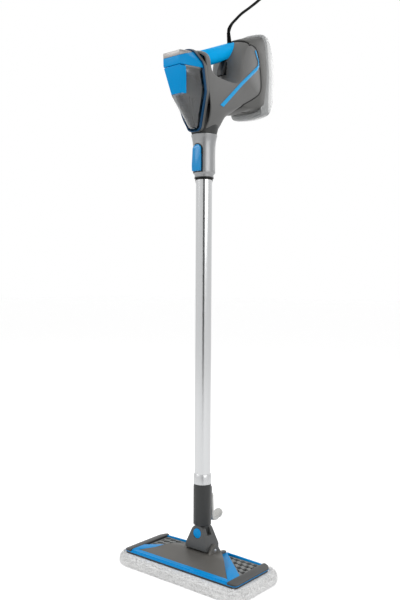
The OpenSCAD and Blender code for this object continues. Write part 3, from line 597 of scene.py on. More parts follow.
@dataclass(frozen=True)
class Housing:
    """A rounded moulded housing: an outline in the middle plane that turns into a flat cheek on each side."""

    core: Outline
    cheek: Outline
    base_z: float = 918.0
    half_width: float = 42.0
    arcs: int = 14
    steps: int = 5

    def ring(self, share: float, grow: float) -> list[tuple[float, float]]:
        """A smooth closed outline between core and cheek.

        Args:
            share: 0 for the core, 1 for the cheek.
            grow: growth outwards in millimetres.

        Returns:
            Y and Z of each point.
        """
        knots = [Vector(a).lerp(Vector(b), share) for a, b in zip(self.core, self.cheek)]
        count = len(knots)
        curve = [
            catmull(knots[i - 1], knots[i], knots[(i + 1) % count], knots[(i + 2) % count], k / self.steps)
            for i in range(count)
            for k in range(self.steps)
        ]
        grown = []
        for i, point in enumerate(curve):
            along = (curve[(i + 1) % len(curve)] - curve[i - 1]).normalized()
            grown.append((point.x - along.y * grow, point.y + along.x * grow))
        return grown

    def form(
        self, side: int = 0, grow: float = 0.0, over: float = 0.0, first: float = 0.02
    ) -> bmesh.types.BMesh:
        """Lofts one half of the form, or with side 0 the whole of it, as a closed mesh.

        Args:
            side: 1 for +X, -1 for -X, 0 for both.
            grow: growth of the outline in millimetres.
            over: how far past the cheek the form is carried, or short of it where negative.
            first: distance of a half's flat side from the middle plane.

        Returns:
            The lofted mesh.
        """
        bm = bmesh.new()
        stations = []
        for k in range(self.arcs + 1):
            angle = math.pi / 2 * k / self.arcs
            x = (self.half_width + min(over, 0.0)) * math.sin(angle)
            stations.append((max(first, x), (1 - math.cos(angle)) ** 0.85))
        if over > 0:
            stations.append((self.half_width + over, 1.0))
        if side == 0:
            stations = [(-x, share) for x, share in stations[:0:-1]] + [(0.0, 0.0)] + stations[1:]
        loops = []
        for x, share in stations:
            place = x * (side or 1) * MM
            ring = [bm.verts.new((place, y * MM, (z + self.base_z) * MM)) for y, z in self.ring(share, grow)]
            loops.append([bm.edges.new((ring[i - 1], ring[i])) for i in range(len(ring))])
        for low, high in zip(loops, loops[1:]):
            bmesh.ops.bridge_loops(bm, edges=low + high)
        bmesh.ops.edgeloop_fill(bm, edges=loops[-1])
        bmesh.ops.edgeloop_fill(bm, edges=loops[0])
        bmesh.ops.triangulate(bm, faces=[f for f in bm.faces if len(f.verts) > 4])
        bmesh.ops.recalc_face_normals(bm, faces=bm.faces[:])
        return bm

    def hollow(self, wall: float) -> bmesh.types.BMesh:
        """The room inside the form's wall, in millimetres."""
        return self.form(grow=-wall, over=-wall)


def lathe(profile: Outline, base_z: float, steps: int = 96) -> bmesh.types.BMesh:
    """Turns a closed profile about the wand's axis.

    Args:
        profile: radius and height in millimetres, in order; the last point joins the first.
        base_z: height of the profile's zero above the floor.
        steps: faces round the turn.

    Returns:
        The turned mesh.
    """
    bm = bmesh.new()
    verts = [bm.verts.new((r * MM, 0.0, (z + base_z) * MM)) for r, z in profile]
    pairs = list(zip(verts, verts[1:])) + [(verts[-1], verts[0])]
    edges = [bm.edges.new(p) for p in pairs]
    bmesh.ops.spin(
        bm, geom=verts + edges, cent=(0, 0, 0), axis=(0, 0, 1), angle=math.tau, steps=steps, use_merge=True,
        use_duplicate=False,
    )
    bmesh.ops.remove_doubles(bm, verts=bm.verts[:], dist=1e-6)
    bmesh.ops.recalc_face_normals(bm, faces=bm.faces[:])
    return bm


def catmull(a: Vector, b: Vector, c: Vector, d: Vector, t: float) -> Vector:
    """A point between b and c on the smooth curve through a, b, c and d."""
    return 0.5 * (2 * b + (c - a) * t + (2 * a - 5 * b + 4 * c - d) * t * t + (3 * b - a - 3 * c + d) * t**3)


def smooth_path(points: Sequence[Vector], steps: int) -> list[Vector]:
    """An open smooth curve through points.

    Args:
        points: the points.
        steps: pieces between each two.

    Returns:
        The curve's points.
    """
    last = len(points) - 1
    curve = [
        catmull(points[max(i - 1, 0)], points[i], points[i + 1], points[min(i + 2, last)], k / steps)
        for i in range(last)
        for k in range(steps)
    ]
    return curve + [points[last].copy()]


def tube(path: Sequence[Vector], radius: float, sides: int) -> bmesh.types.BMesh:
    """Sweeps a circle along a path without twist.

    Args:
        path: the centreline, in metres.
        radius: in metres.
        sides: faces round it.

    Returns:
        The closed tube.
    """
    bm = bmesh.new()
    last = len(path) - 1
    along = [(path[min(i + 1, last)] - path[max(i - 1, 0)]).normalized() for i in range(last + 1)]
    side = along[0].orthogonal().normalized()
    grid = bmesh.ops.create_grid(bm, x_segments=sides, y_segments=last, size=1.0)["verts"]
    grid.sort(key=lambda v: (round(v.co.y, 6), v.co.x))
    for i, point in enumerate(path):
        side = (side - along[i] * side.dot(along[i])).normalized()
        other = along[i].cross(side)
        for k in range(sides + 1):
            turn = math.tau * k / sides
            grid[i * (sides + 1) + k].co = point + (side * math.cos(turn) + other * math.sin(turn)) * radius
    bmesh.ops.remove_doubles(bm, verts=bm.verts[:], dist=1e-7)
    bmesh.ops.holes_fill(bm, edges=[e for e in bm.edges if e.is_boundary], sides=0)
    bmesh.ops.recalc_face_normals(bm, faces=bm.faces[:])
    return bm


# ---------------------------------------------------------------- studio


@dataclass
class Studio:
    """Camera, floor, backdrop light and lamps."""

    turn_deg: float = 39.5
    rise_deg: float = -1.02
    roll_deg: float = 0.30
    distance: float = 1482.0
    height: float = 598.0
    side_shift: float = 7.19
    lens_mm: float = 42.0
    world_strength: float = 0.55
    floor_lift: float = 0.45
    floor_half_m: float = 30.0
    aim_m: float = 0.6

    def camera(self) -> None:
        """Makes the camera, which stands in front and to the right of the mop, at its middle height."""
        turn, rise, roll = (math.radians(a) for a in (self.turn_deg, self.rise_deg, self.roll_deg))
        ahead = Vector((-math.sin(turn) * math.cos(rise), math.cos(turn) * math.cos(rise), math.sin(rise)))
        right = Vector((math.cos(turn), math.sin(turn), 0.0))
        up = right.cross(ahead)
        tilted_right = right * math.cos(roll) + up * math.sin(roll)
        tilted_up = up * math.cos(roll) - right * math.sin(roll)
        place = Vector((math.sin(turn) * self.distance, -math.cos(turn) * self.distance, self.height))
        place -= right * self.side_shift
        data = bpy.data.cameras.new("camera")
        data.lens = self.lens_mm
        data.clip_end = 50.0
        camera = bpy.data.objects.new("camera", data)
        bpy.context.scene.collection.objects.link(camera)
        camera.matrix_world = Matrix(
            [(tilted_right[i], tilted_up[i], -ahead[i], place[i] * MM) for i in range(3)] + [(0, 0, 0, 1)]
        )
        bpy.context.scene.camera = camera

    def lamp(self, name: str, place: Point, size: tuple[float, float], power: float) -> None:
        """Adds a soft area lamp that faces the mop's middle.

        Args:
            name: the lamp's name.
            place: where it is, in metres.
            size: width and height in metres.
            power: in watts.
        """
        data = bpy.data.lights.new(name, "AREA")
        data.shape = "RECTANGLE"
        data.size, data.size_y = size
        data.energy = power
        lamp = bpy.data.objects.new(name, data)
        bpy.context.scene.collection.objects.link(lamp)
        lamp.location = place
        aim = Vector((0, 0, self.aim_m)) - Vector(place)
        lamp.rotation_euler = aim.to_track_quat("-Z", "Z").to_euler()

    def floor(self) -> None:
        """Makes a wide pale floor that looks white, also in reflections, and still takes a shadow."""
        bm = bmesh.new()
        bmesh.ops.create_grid(bm, x_segments=1, y_segments=1, size=self.floor_half_m)
        mesh = bpy.data.meshes.new("studio_floor")
        bm.to_mesh(mesh)
        bm.free()
        floor = bpy.data.objects.new("studio_floor", mesh)
        bpy.context.scene.collection.objects.link(floor)
        made, shader, tree = fresh("pale_seamless_paper", Base_Color=linear("#f4f4f4"), Roughness=0.9)
        rays = add_node(tree, "ShaderNodeLightPath")
        seen = add_node(
            tree, "ShaderNodeMath", operation="MAXIMUM",
            links={0: rays.outputs["Is Camera Ray"], 1: rays.outputs["Is Glossy Ray"]},
        )
        seen = add_node(
            tree, "ShaderNodeMath", operation="MAXIMUM",
            links={0: seen.outputs[0], 1: rays.outputs["Is Transmission Ray"]},
        )
        lift = add_node(
            tree, "ShaderNodeMath", {1: self.floor_lift}, {0: seen.outputs[0]}, operation="MULTIPLY"
        )
        shader.inputs["Emission Color"].default_value = (1, 1, 1, 1)
        tree.links.new(lift.outputs[0], shader.inputs["Emission Strength"])
        mesh.materials.append(made)

    def world(self) -> None:
        """Makes an even pale surround that reads as white to the eye, in gloss and through clear parts."""
        world = bpy.data.worlds.new("studio")
        world.use_nodes = True
        bpy.context.scene.world = world
        tree = world.node_tree
        tree.nodes.clear()
        rays = add_node(tree, "ShaderNodeLightPath")
        seen = add_node(
            tree, "ShaderNodeMath", operation="MAXIMUM",
            links={0: rays.outputs["Is Camera Ray"], 1: rays.outputs["Is Transmission Ray"]},
        )
        seen = add_node(
            tree, "ShaderNodeMath", operation="MAXIMUM",
            links={0: seen.outputs[0], 1: rays.outputs["Is Glossy Ray"]},
        )
        strength = add_node(
            tree, "ShaderNodeMapRange", {"To Min": self.world_strength, "To Max": 1.0},
            {"Value": seen.outputs[0]},
        )
        sky = add_node(
            tree, "ShaderNodeBackground", {"Color": (1, 1, 1, 1)}, {"Strength": strength.outputs["Result"]}
        )
        add_node(tree, "ShaderNodeOutputWorld", links={"Surface": sky.outputs[0]})

    def flag(self, name: str, place: Point, size: tuple[float, float]) -> None:
        """Stands a black card beside the camera, which gloss and metal show as a dark streak.

        Args:
            name: the card's name.
            place: its middle, in metres.
            size: width and height in metres.
        """
        bm = bmesh.new()
        bmesh.ops.create_grid(bm, x_segments=1, y_segments=1, size=0.5)
        bmesh.ops.scale(bm, vec=(size[0], size[1], 1.0), verts=bm.verts[:])
        aim = (Vector((0, 0, place[2])) - Vector(place)).to_track_quat("Z", "Y").to_matrix().to_4x4()
        bmesh.ops.transform(bm, matrix=Matrix.Translation(place) @ aim, verts=bm.verts[:])
        mesh = bpy.data.meshes.new(name)
        bm.to_mesh(mesh)
        bm.free()
        card = bpy.data.objects.new(name, mesh)
        bpy.context.scene.collection.objects.link(card)
        made, _, _ = fresh("black_felt", Base_Color=linear("#0a0a0a"), Roughness=1.0)
        mesh.materials.append(made)
        card.visible_camera = False
        card.visible_diffuse = False
        card.visible_shadow = False
        card.visible_transmission = False

    def build(self) -> None:
        """Makes the whole studio."""
        self.floor()
        self.world()
        self.lamp("key_lamp", (-1.6, -2.2, 2.4), (1.6, 1.6), 34.0)
        self.lamp("fill_lamp", (2.6, -0.6, 1.6), (1.4, 2.0), 22.0)
        self.lamp("rim_lamp", (0.4, 2.6, 2.2), (1.6, 1.6), 16.0)
        self.flag("camera_flag", (1.9, -2.3, 0.9), (1.3, 3.0))
        bpy.context.scene.view_settings.view_transform = "Standard"


# ---------------------------------------------------------------- power cord


@dataclass
class PowerCord:
    """The mains cord: out of the hand steamer, down its left side, and into a tied hank behind the wand."""

    hand_z: float = 918.0
    diameter: float = 6.0
    length: float = 5.5
    turn_deg: float = 39.5
    hank_mid: float = 68.0
    hank_top: float = -58.0
    hank_len: float = 130.0
    hank_deep: float = 86.0
    plug_reach: float = 55.0
    plug_top: float = -104.0
    columns: tuple[float, ...] = (-12.0, -6.0, 6.0, 12.0)
    layers: tuple[float, ...] = (22.0, 28.0, 34.0, 40.0)
    bend_steps: int = 8
    smoothing: int = 4
    sides: int = 12
    blend_top: float = 230.0
    blend_bottom: float = -30.0
    route: list[Point] = field(default_factory=lambda: [
        (0, 82, 240), (0, 82.2, 245), (0, 85, 251), (0, 94, 262), (0, 110, 277), (0, 130, 295), (0, 161, 318),
        (0, 193, 343), (0, 224, 369), (-8, 254, 391), (-27, 277, 400), (-45, 278, 391), (-50, 255, 370),
        (-50, 228, 350), (-50, 200, 329), (-50, 177, 309), (-50, 158, 289), (-50, 149, 268), (-50, 149, 240),
        (-50, 147, 200), (-50, 147, 150), (-50, 144, 108), (-50, 124, 80), (-50, 97, 49), (-50, 76, 18),
        (-49, 64, -10), (-45, 55, -34), (-43.3, 52.5, -46), (-43.3, 52.5, -57.5),
    ])

    def from_hank(self, across: float, out: float, z: float) -> Vector:
        """A point of the hank in metres.

        Args:
            across: distance from the hank's middle plane, in millimetres.
            out: distance from its middle, away from the wand.
            z: height above the collar's rim.

        Returns:
            The point in the frame.
        """
        turn = math.radians(self.turn_deg)
        far = self.hank_mid + out
        x = math.cos(turn) * across - math.sin(turn) * far
        y = math.sin(turn) * across + math.cos(turn) * far
        return Vector((x, y, z + self.hand_z)) * MM

    def windings(self) -> list[Vector]:
        """The turns of the hank, from its inner layer to its outer one, and the lead to the plug.

        Returns:
            Points along the centreline, in metres.
        """
        top = self.hank_top - self.hank_deep / 2
        bottom = top - (self.hank_len - self.hank_deep)
        turns = []
        for n, r in enumerate(self.layers):
            turns += [(r, x) for x in (self.columns if n % 2 == 0 else self.columns[::-1])]
        first_r, first_x = turns[0]
        points = []
        half_turn = [math.pi * k / self.bend_steps for k in range(self.bend_steps + 1)]
        for k in range(1, self.bend_steps):
            sway = (1 - math.cos(half_turn[k])) / 2
            drop = (self.hank_top - bottom) * k / self.bend_steps
            points.append(self.from_hank(first_x * sway, first_r * sway, self.hank_top - drop))
        for n, (r, x) in enumerate(turns):
            for a in half_turn:
                points.append(self.from_hank(x, r * math.cos(a), bottom - r * math.sin(a)))
            nxt_r, nxt_x = turns[n + 1] if n + 1 < len(turns) else (r, x)
            points.append(self.from_hank((x + nxt_x) / 2, -(r + nxt_r) / 2, (top + bottom) / 2))
            if n + 1 < len(turns):
                for a in half_turn:
                    points.append(self.from_hank(nxt_x, -nxt_r * math.cos(a), top + nxt_r * math.sin(a)))
                points.append(self.from_hank(nxt_x, nxt_r, (top + bottom) / 2))
        last_r, last_x = turns[-1]
        radius = (last_r + self.plug_reach) / 2
        middle = (self.plug_reach - last_r) / 2
        half = self.bend_steps / 2
        for k, a in enumerate(half_turn):
            shift = last_x * (1 - max(0.0, (k - half) / half))
            points.append(self.from_hank(shift, middle - radius * math.cos(a), top + radius * math.sin(a)))
        points.append(self.from_hank(0, self.plug_reach, self.plug_top + 1))
        return points

    def build(self, frame: dict) -> None:
        """Makes the cord, and dresses the pieces that go with it.

        Args:
            frame: the loaded frame.
        """
        free = [Vector((x, y, z + self.hand_z)) * MM for x, y, z in self.route]
        path = smooth_path(free[:-1] + self.windings(), self.smoothing)
        measured = sum((b - a).length for a, b in zip(path, path[1:]))
        LOG.info("cord measures %.3f m", measured)
        cord = finish_piece(
            tube(path, self.diameter / 2 * MM, self.sides), "mains_cord", CORD_PVC,
            ["power_cord", "cord_hank"], 60,
        )
        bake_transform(cord)
        tie = refined(frame, "hank_tie", "hank_strap", SEAL, Body.WAND, 0.5)
        plug = refined(frame, "plug", "mains_plug", CORD_PVC, Body.WAND, 1.2, 3)
        relief = refined(frame, "cord_gland", "strain_relief", CORD_PVC, Body.HAND_STEAMER, 0.4)


# ---------------------------------------------------------------- floor head


@dataclass
class FloorHead:
    """Floor head: pad, frame, roof, windows and end caps."""

    foot_len: float = 302.0
    foot_depth: float = 128.0
    foot_shift: float = 20.0
    pad_margin: float = 18.0
    pad_t: float = 22.0
    tuft_inset: float = 6.0
    tuft_corner: float = 34.0
    tufts: int = 9000
    batch: int = 40
    seed: int = 7

    def pad_outline(self, grow: float, radius: float, steps: int = 10) -> list[tuple[float, float]]:
        """The pad's rounded rectangle, grown outwards.

        Args:
            grow: growth in millimetres.
            radius: corner radius.
            steps: points at each corner.

        Returns:
            X and Y of each point, anticlockwise.
        """
        hx = self.foot_len / 2 + grow - radius
        hy = self.foot_depth / 2 + grow - radius
        corners = [(hx, hy, 0), (-hx, hy, 90), (-hx, -hy, 180), (hx, -hy, 270)]
        return [
            (cx + radius * math.cos(math.radians(start + 90 * k / steps)),
             cy - self.foot_shift + radius * math.sin(math.radians(start + 90 * k / steps)))
            for cx, cy, start in corners
            for k in range(steps + 1)
        ]

    def pad(self, frame: dict) -> None:
        """Builds the pad: a soft crowned body, and tufts of pile round its side and over its rim.

        Args:
            frame: the loaded frame; not used.
        """
        bm = bmesh.new()
        edge = self.pad_margin
        # growth of the outline, height and corner radius of each ring, from the sole up to the crown
        levels = [
            (edge - 14, 0.0, 30), (edge - 4.5, 1.2, 36), (edge - 2.0, 5.0, 38), (edge - 1.5, 9.0, 38),
            (edge - 3.0, 13.5, 37), (edge - 6.5, 17.5, 35), (edge - 12, 20.6, 31),
            (-4.0, self.pad_t - 0.4, 22), (-9.0, self.pad_t - 1.6, 18),
        ]
        rings = []
        for grow, z, radius in levels:
            ring = [bm.verts.new((x * MM, y * MM, z * MM)) for x, y in self.pad_outline(grow, radius)]
            edges = [bm.edges.new((ring[i], ring[(i + 1) % len(ring)])) for i in range(len(ring))]
            rings.append(edges)
        for low, high in zip(rings, rings[1:]):
            bmesh.ops.bridge_loops(bm, edges=low + high)
        bmesh.ops.edgeloop_fill(bm, edges=rings[0])
        bmesh.ops.edgeloop_fill(bm, edges=rings[-1])
        bmesh.ops.recalc_face_normals(bm, faces=bm.faces[:])
        self.add_tufts(bm)
        pad = finish_piece(bm, "microfibre_pad", PILE, ["mop_pad"], 80)
        ride(pad, Body.FOOT)

    def add_tufts(self, bm: bmesh.types.BMesh) -> None:
        """Adds short bent tufts of pile to the pad's side.

        Args:
            bm: the pad's mesh.
        """
        rng = random.Random(self.seed)
        loop = self.pad_outline(self.pad_margin - self.tuft_inset, self.tuft_corner, 14)
        spans = [(Vector(loop[i]), Vector(loop[(i + 1) % len(loop)])) for i in range(len(loop))]
        lengths = [(b - a).length for a, b in spans]
        total = sum(lengths)
        for _ in range(self.tufts // self.batch):
            small = bmesh.new()
            for _ in range(self.batch):
                at = rng.uniform(0, total)
                i = 0
                while at > lengths[i]:
                    at -= lengths[i]
                    i += 1
                a, b = spans[i]
                along = (b - a).normalized()
                self.tuft(small, rng, a + along * at, along)
            mesh = bpy.data.meshes.new("tufts")
            small.to_mesh(mesh)
            small.free()
            bm.from_mesh(mesh)
            bpy.data.meshes.remove(mesh)

    @staticmethod
    def tuft(bm: bmesh.types.BMesh, rng: random.Random, flat: Vector, along: Vector) -> None:
        """One tapered tuft, bent at its middle, somewhere up the pad's rounded side.

        Args:
            bm: the mesh it joins.
            rng: the random source.
            flat: its place in plan, in millimetres, on the line 6 mm inside the pad's edge.
            along: the edge's direction there.
        """
        out = Vector((along.y, -along.x))
        angle = math.radians(rng.uniform(-62, 84))
        root_out = 4.0 * math.cos(angle) - 0.4
        root_z = 9.0 + (8.0 if angle < 0 else 11.5) * math.sin(angle)
        if angle > math.radians(50):
            root_out -= rng.uniform(0, 10)
            root_z += 0.8
        root = Vector((flat.x + out.x * root_out, flat.y + out.y * root_out, root_z))
        away = Vector((out.x * math.cos(angle), out.y * math.cos(angle), math.sin(angle) * 0.7))
        lean = Vector((along.x, along.y, 0)) * rng.uniform(-1.6, 1.6)
        tip = root + away * rng.uniform(2.2, 3.6) + lean + Vector((0, 0, rng.uniform(-1.2, 0.6)))
        tip.z = max(0.3, tip.z)
        width = rng.uniform(0.6, 1.15)
        middle = (root + tip) / 2 + Vector((0, 0, 0.4))
        halves = ((root, middle, width, width * 0.9), (middle, tip, width * 0.9, width * 0.3))
        for low, high, wide, thin in halves:
            aim = (high - low).to_track_quat("Z", "Y").to_matrix().to_4x4()
            bmesh.ops.create_cone(
                bm, cap_ends=False, segments=5, radius1=wide * MM, radius2=thin * MM,
                depth=(high - low).length * MM, matrix=Matrix.Translation((low + high) / 2 * MM) @ aim,
            )

    def build(self, frame: dict) -> None:
        """Builds and dresses the floor head.

        Args:
            frame: the loaded frame.
        """
        self.pad(frame)
        foot = Body.FOOT
        refined(frame, "floor_frame", "blue_frame", BLUE, foot, 1.4, 3)
        refined(frame, "floor_cover", "roof", ROOF_GREY, foot, 2.4, 4)
        refined(frame, "left_grille", "left_window", WINDOW_GREY, foot, 0.5)
        refined(frame, "right_grille", "right_window", WINDOW_GREY, foot, 0.5)
        refined(frame, "left_end_cap", "left_end", CHARCOAL, foot, 2.0, 4)
        refined(frame, "right_end_cap", "right_end", CHARCOAL, foot, 2.0, 4)
        refined(frame, "base_plate", "sole_plate", CHARCOAL, foot, 0.4)
        refined(frame, "tilt_pins", "tilt_axles", STEEL, foot, 0.4)
        dress(frame, BLACK, "hook_strips", "steam_outlet")
        dress(frame, STEEL, "base_screws")


@dataclass
class Neck:
    """The yoke between floor head and wand, with its pivots."""

    def build(self, frame: dict) -> None:
        """Builds and dresses the neck.

        Args:
            frame: the loaded frame.
        """
        refined(frame, "yoke", "neck_yoke", SHADE_GREY, Body.NECK, 2.0, 4)
        refined(frame, "pin_caps", "pivot_caps", BLUE, Body.NECK, 0.9, 3)
        dress(frame, STEEL, "roll_pin")
        dress(frame, HOSE, "neck_hose")


# ---------------------------------------------------------------- wand


@dataclass
class Wand:
    """Sleeve, tube, ferrule and quick-release collar; the tube's foot is sunk in the sleeve."""

    pole_d: float = 34.0
    sleeve_d: float = 38.0
    sleeve_z0: float = 95.0
    ferrule_z0: float = 182.2
    hand_z: float = 918.0
    spigot_drop: float = 41.0
    pole_wall: float = 1.4
    pole_sunk: float = 30.0

    def build(self, frame: dict) -> None:
        """Builds and dresses the wand.

        Args:
            frame: the loaded frame.
        """
        wand = Body.WAND
        r = self.pole_d / 2
        inner = r - self.pole_wall
        top = self.hand_z - self.spigot_drop - self.sleeve_z0 - self.pole_sunk
        pole = lathe([(inner, 0), (r, 0), (r, top), (inner, top)], self.sleeve_z0 + self.pole_sunk)
        ride(finish_piece(pole, "wand_tube", POLE, ["pole"]), wand)
        s = self.sleeve_d / 2
        # a short cylinder with a broken edge at each end, then a cone down to the tube
        profile = [
            (r, 0), (s - 0.4, 0), (s, 0.4), (s, 15.6),
            (s - 0.4, 16.6), (r + 1.0, 21), (r + 0.5, 21.6), (r, 21.6),
        ]
        ferrule = lathe(profile, self.ferrule_z0)
        ride(finish_piece(ferrule, "pole_collet", SILVER, ["pole_ferrule"]), wand)
        refined(frame, "lower_sleeve", "lower_handle_sleeve", SLEEVE_GREY, wand, 1.2, 3)
        refined(frame, "sleeve_tongue", "roll_tongue", SHADE_GREY, wand, 0.5)
        refined(frame, "release_collar", "quick_release_collar", COLLAR_SILVER, wand, 0.5, 2)
        refined(frame, "button_surround", "button_frame", SHADE_GREY, wand, 0.4)
        refined(frame, "collar_ring", "collar_shadow_ring", BLACK, wand, 0.4)
        refined(frame, "steam_spigot", "steam_coupling", BLACK, wand, 0.5)
        refined(frame, "release_button", "release_push_button", BUTTON_BLUE, Body.BUTTON, 1.6, 4)
        refined(frame, "cord_hook", "cord_wrap_hook", LIGHT_GREY, Body.HOOK, 1.0, 3)
        dress(frame, HOSE, "wand_hose")


# ---------------------------------------------------------------- hand steamer


# outlines run round the front, over the grip's saddle, down the back and along the belly
BODY = Housing(
    core=[
        (-26, 2), (-45, 74), (-56, 128), (-59, 150), (-49, 163), (-34, 168), (-24, 163), (-21, 148),
        (-16, 132), (4, 122), (40, 121), (58, 127), (64, 148), (70, 190), (96, 222), (128, 220),
        (143, 192), (152, 140), (150, 118), (130, 98), (84, 70), (60, 52), (39, 34), (22, 4),
    ],
    cheek=[
        (-40, 60), (-47, 88), (-53, 120), (-56, 132), (-50, 143), (-41, 145), (-35, 140), (-32, 128),
        (-24, 117), (-6, 112), (40, 112), (66, 117), (79, 138), (84, 176), (100, 206), (127, 206),
        (139, 182), (147, 138), (143, 116), (124, 100), (84, 78), (58, 66), (28, 60), (-6, 55),
    ],
)
REAR = Housing(
    core=[
        (64, 66), (80, 90), (100, 130), (102, 190), (94, 220), (112, 232), (140, 242),
        (162, 246), (168, 220), (174, 160), (167, 100), (158, 76), (130, 70), (96, 62),
    ],
    cheek=[
        (71, 80), (86, 96), (104, 130), (108, 180), (101, 206), (114, 219), (138, 230),
        (156, 234), (163, 212), (169, 160), (162, 104), (151, 86), (128, 80), (96, 73),
    ],
    steps=8,
)
CADDY = Housing(
    core=[
        (150, 68), (150, 120), (150, 210), (155, 250), (175, 252), (184, 244),
        (191, 230), (199, 206), (204, 160), (200, 108), (189, 74), (172, 63),
    ],
    cheek=[
        (150, 74), (148, 120), (148, 200), (153, 240), (171, 242), (178, 236),
        (185, 224), (194, 202), (199, 160), (195, 110), (184, 80), (170, 70),
    ],
    steps=8,
)
# how far a housing is carried past its cheek when it serves as a cutter
CUTTER_OVER = 5.0


@dataclass
class HandSteamer:
    """Body shells, rear shell, grip, tank seat and works of the hand steamer."""

    hand_z: float = 918.0
    wall: float = 2.4
    seam: float = 2.4
    grip_fit: float = 0.02
    grip_room: float = 1.0
    slots: int = 5
    slot_pitch: float = 11.0
    slot_tilt_deg: float = 8.0
    seat_y: float = -28.0
    seat_z: float = 4.0
    seat_tilt_deg: float = 10.9
    bezel_t: float = 8.0
    grip_a: tuple[float, float] = (-30.0, 149.7)
    grip_b: tuple[float, float] = (98.0, 205.0)
    grip_r: float = 17.0
    socket_r: float = 30.0

    def place(self, x: float, y: float, z: float) -> Matrix:
        """A place given from the collar's rim, in millimetres."""
        return Matrix.Translation(Vector((x, y, z + self.hand_z)) * MM)

    def grip_bar(self, grow: float) -> bmesh.types.BMesh:
        """The grip's cylinder, grown by some millimetres."""
        (ya, za), (yb, zb) = self.grip_a, self.grip_b
        return rod(self.grip_r + grow, (0, ya, za + self.hand_z), (0, yb, zb + self.hand_z))

    def shells(self) -> None:
        """Builds the two body shells: hollow mouldings with seats for tank, grip, wand and trigger.
        """
        tilt = Matrix.Rotation(math.radians(90 + self.seat_tilt_deg), 4, "X")
        seat = self.place(0, self.seat_y, self.seat_z) @ tilt
        ahead = Matrix.Translation(Vector((0, 80, 60 - self.bezel_t)) * MM)
        sides = ((1, "right_shell", "body_shell_right"), (-1, "left_shell", "body_shell_left"))
        for side, node, name in sides:
            cuts = [
                BODY.hollow(self.wall),
                # all that lies in front of the tank's seat
                box((200, 300, 120), seat @ ahead),
                self.grip_bar(self.grip_fit),
                # the wand's socket
                rod(self.socket_r, (0, 0, self.hand_z - 10), (0, 0, self.hand_z + 62)),
                # the trigger's window
                box((17, 27, 34), self.place(0, 64, 158)),
            ]
            bm = carved(BODY.form(side), *cuts)
            ride(finish_piece(bm, name, BODY_GREY, [node], 32), Body.HAND_STEAMER)

    def rear(self) -> None:
        """Builds the rear housing behind the seam, with its strain relief hole and cooling slots.
        """
        cuts = [
            REAR.hollow(self.wall), BODY.form(grow=self.seam, over=CUTTER_OVER),
            self.grip_bar(self.grip_room),
            rod(7, (0, 86, self.hand_z + 214), (0, 86, self.hand_z + 274)),
        ]
        tilt = Matrix.Rotation(math.radians(self.slot_tilt_deg), 4, "X")
        for i in range(self.slots):
            x = self.slot_pitch * (i - (self.slots - 1) / 2)
            cuts.append(box((6, 34, 40), self.place(x, 118, 60) @ tilt))
        bm = carved(REAR.form(), *cuts)
        # the rear housing's darker grey is painted shade on the body's ABS
        ride(finish_piece(bm, "rear_housing", REAR_GREY_PAINTED_SHADE, ["rear_shell"], 32),
             Body.HAND_STEAMER)

    def build(self, frame: dict) -> None:
        """Builds and dresses the hand steamer.

        Args:
            frame: the loaded frame.
        """
        hand = Body.HAND_STEAMER
        self.shells()
        self.rear()
        refined(frame, "seam_gasket", "body_seal", SEAL, hand, 0.0)
        refined(frame, "right_accent", "accent_strip_right", ACCENT_BLUE, hand, 0.5)
        refined(frame, "left_accent", "accent_strip_left", ACCENT_BLUE, hand, 0.5)
        refined(frame, "grip", "grip_sleeve", GRIP_BLUE, hand, 0.8)
        refined(frame, "head_bezel", "tank_bezel", BODY_GREY, hand, 1.0, 3)
        refined(frame, "tank_trim", "tank_seat_trim", DEEP_BLUE, hand, 0.6)
        refined(frame, "neck_socket", "wand_socket", SLEEVE_GREY, hand, 0.6)
        refined(frame, "steam_nozzle", "nozzle", BRASS, hand, 0.4)
        refined(frame, "shell_screws", "housing_screws", STEEL, hand, 0.15)
        dress(frame, LIGHT_GREY, "chassis")
        dress(frame, CAST, "boiler")
        dress(frame, BLACK, "pump", "trigger_switch")
        dress(frame, BOARD, "control_board")
        dress(frame, STEEL, "trigger_pin")
        dress(frame, SEAL, "water_inlet")
        # the trigger is a real part; its black is painted shade, for the shade inside the grip's loop
        refined(frame, "trigger", "steam_trigger", BLACK, Body.TRIGGER, 0.8)


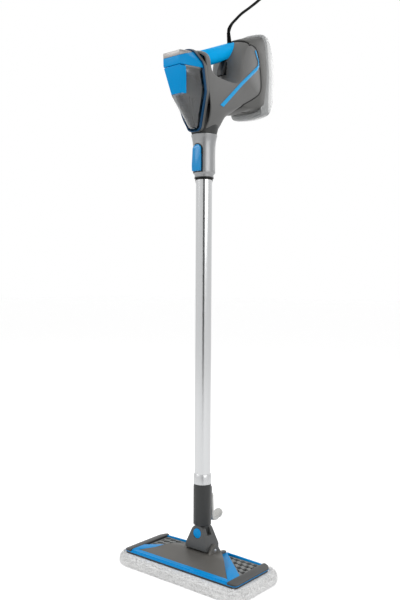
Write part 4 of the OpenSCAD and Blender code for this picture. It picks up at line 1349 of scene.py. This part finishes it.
@dataclass
class WaterTank:
    """The clear water tank with its blue cap and silver top."""

    def build(self, frame: dict) -> None:
        """Builds and dresses the tank.

        Args:
            frame: the loaded frame.
        """
        tank = Body.TANK
        refined(frame, "water_tank", "clear_tank", TANK_CLEAR, tank, 0.0)
        refined(frame, "tank_band", "tank_cap_band", CAP_BLUE, tank, 1.2, 3)
        refined(frame, "top_plate", "silver_top", TOP_SILVER, tank, 1.5, 3)
        refined(frame, "fill_flap", "filling_flap", CAP_BLUE, Body.FLAP, 1.4, 3)
        refined(frame, "pickup_tube", "water_pickup", BLACK, tank, 0.4)


@dataclass
class AccessoryCaddy:
    """The clear bin on the back of the hand steamer, with two tools in it."""

    wall: float = 2.4
    gap: float = 0.4
    shelf_z: float = 112.0
    shelf_t: float = 2.0

    def bin(self) -> None:
        """Builds the clear bin and its shelf.
        """
        bm = carved(CADDY.form(), CADDY.hollow(self.wall), REAR.form(grow=self.gap, over=CUTTER_OVER))
        middle = Vector((0, 180, CADDY.base_z + self.shelf_z - self.shelf_t / 2)) * MM
        shelf = carved(
            box((100, 100, self.shelf_t), Matrix.Translation(middle)),
            REAR.form(grow=self.gap, over=CUTTER_OVER),
            # sunk 0.1 mm into the bin's wall, so that the two meet
            keep=CADDY.hollow(self.wall - 0.1),
        )
        mesh = bpy.data.meshes.new("shelf")
        shelf.to_mesh(mesh)
        shelf.free()
        bm.from_mesh(mesh)
        bpy.data.meshes.remove(mesh)
        ride(finish_piece(bm, "clear_caddy", CADDY_CLEAR, ["accessory_caddy"], 32), Body.CADDY)

    def build(self, frame: dict) -> None:
        """Builds and dresses the caddy.

        Args:
            frame: the loaded frame.
        """
        caddy = Body.CADDY
        self.bin()
        refined(frame, "brush_tool", "small_brush", LIGHT_GREY, caddy, 0.6)
        refined(frame, "nozzle_tool", "jet_nozzle", SHADE_GREY, caddy, 0.6)


def main() -> None:
    logging.basicConfig(level=logging.INFO, format="%(name)s: %(message)s")
    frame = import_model()
    frame["slots"] = {s["node"]: s["material_slot"] for s in frame["record"]["subparts"]}
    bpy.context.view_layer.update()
    studio = Studio()
    studio.camera()
    PowerCord().build(frame)
    studio.build()
    for part in (FloorHead(), Neck(), Wand(), HandSteamer(), WaterTank(), AccessoryCaddy()):
        part.build(frame)
        LOG.info("%s done", type(part).__name__)


if __name__ == "__main__":
    main()
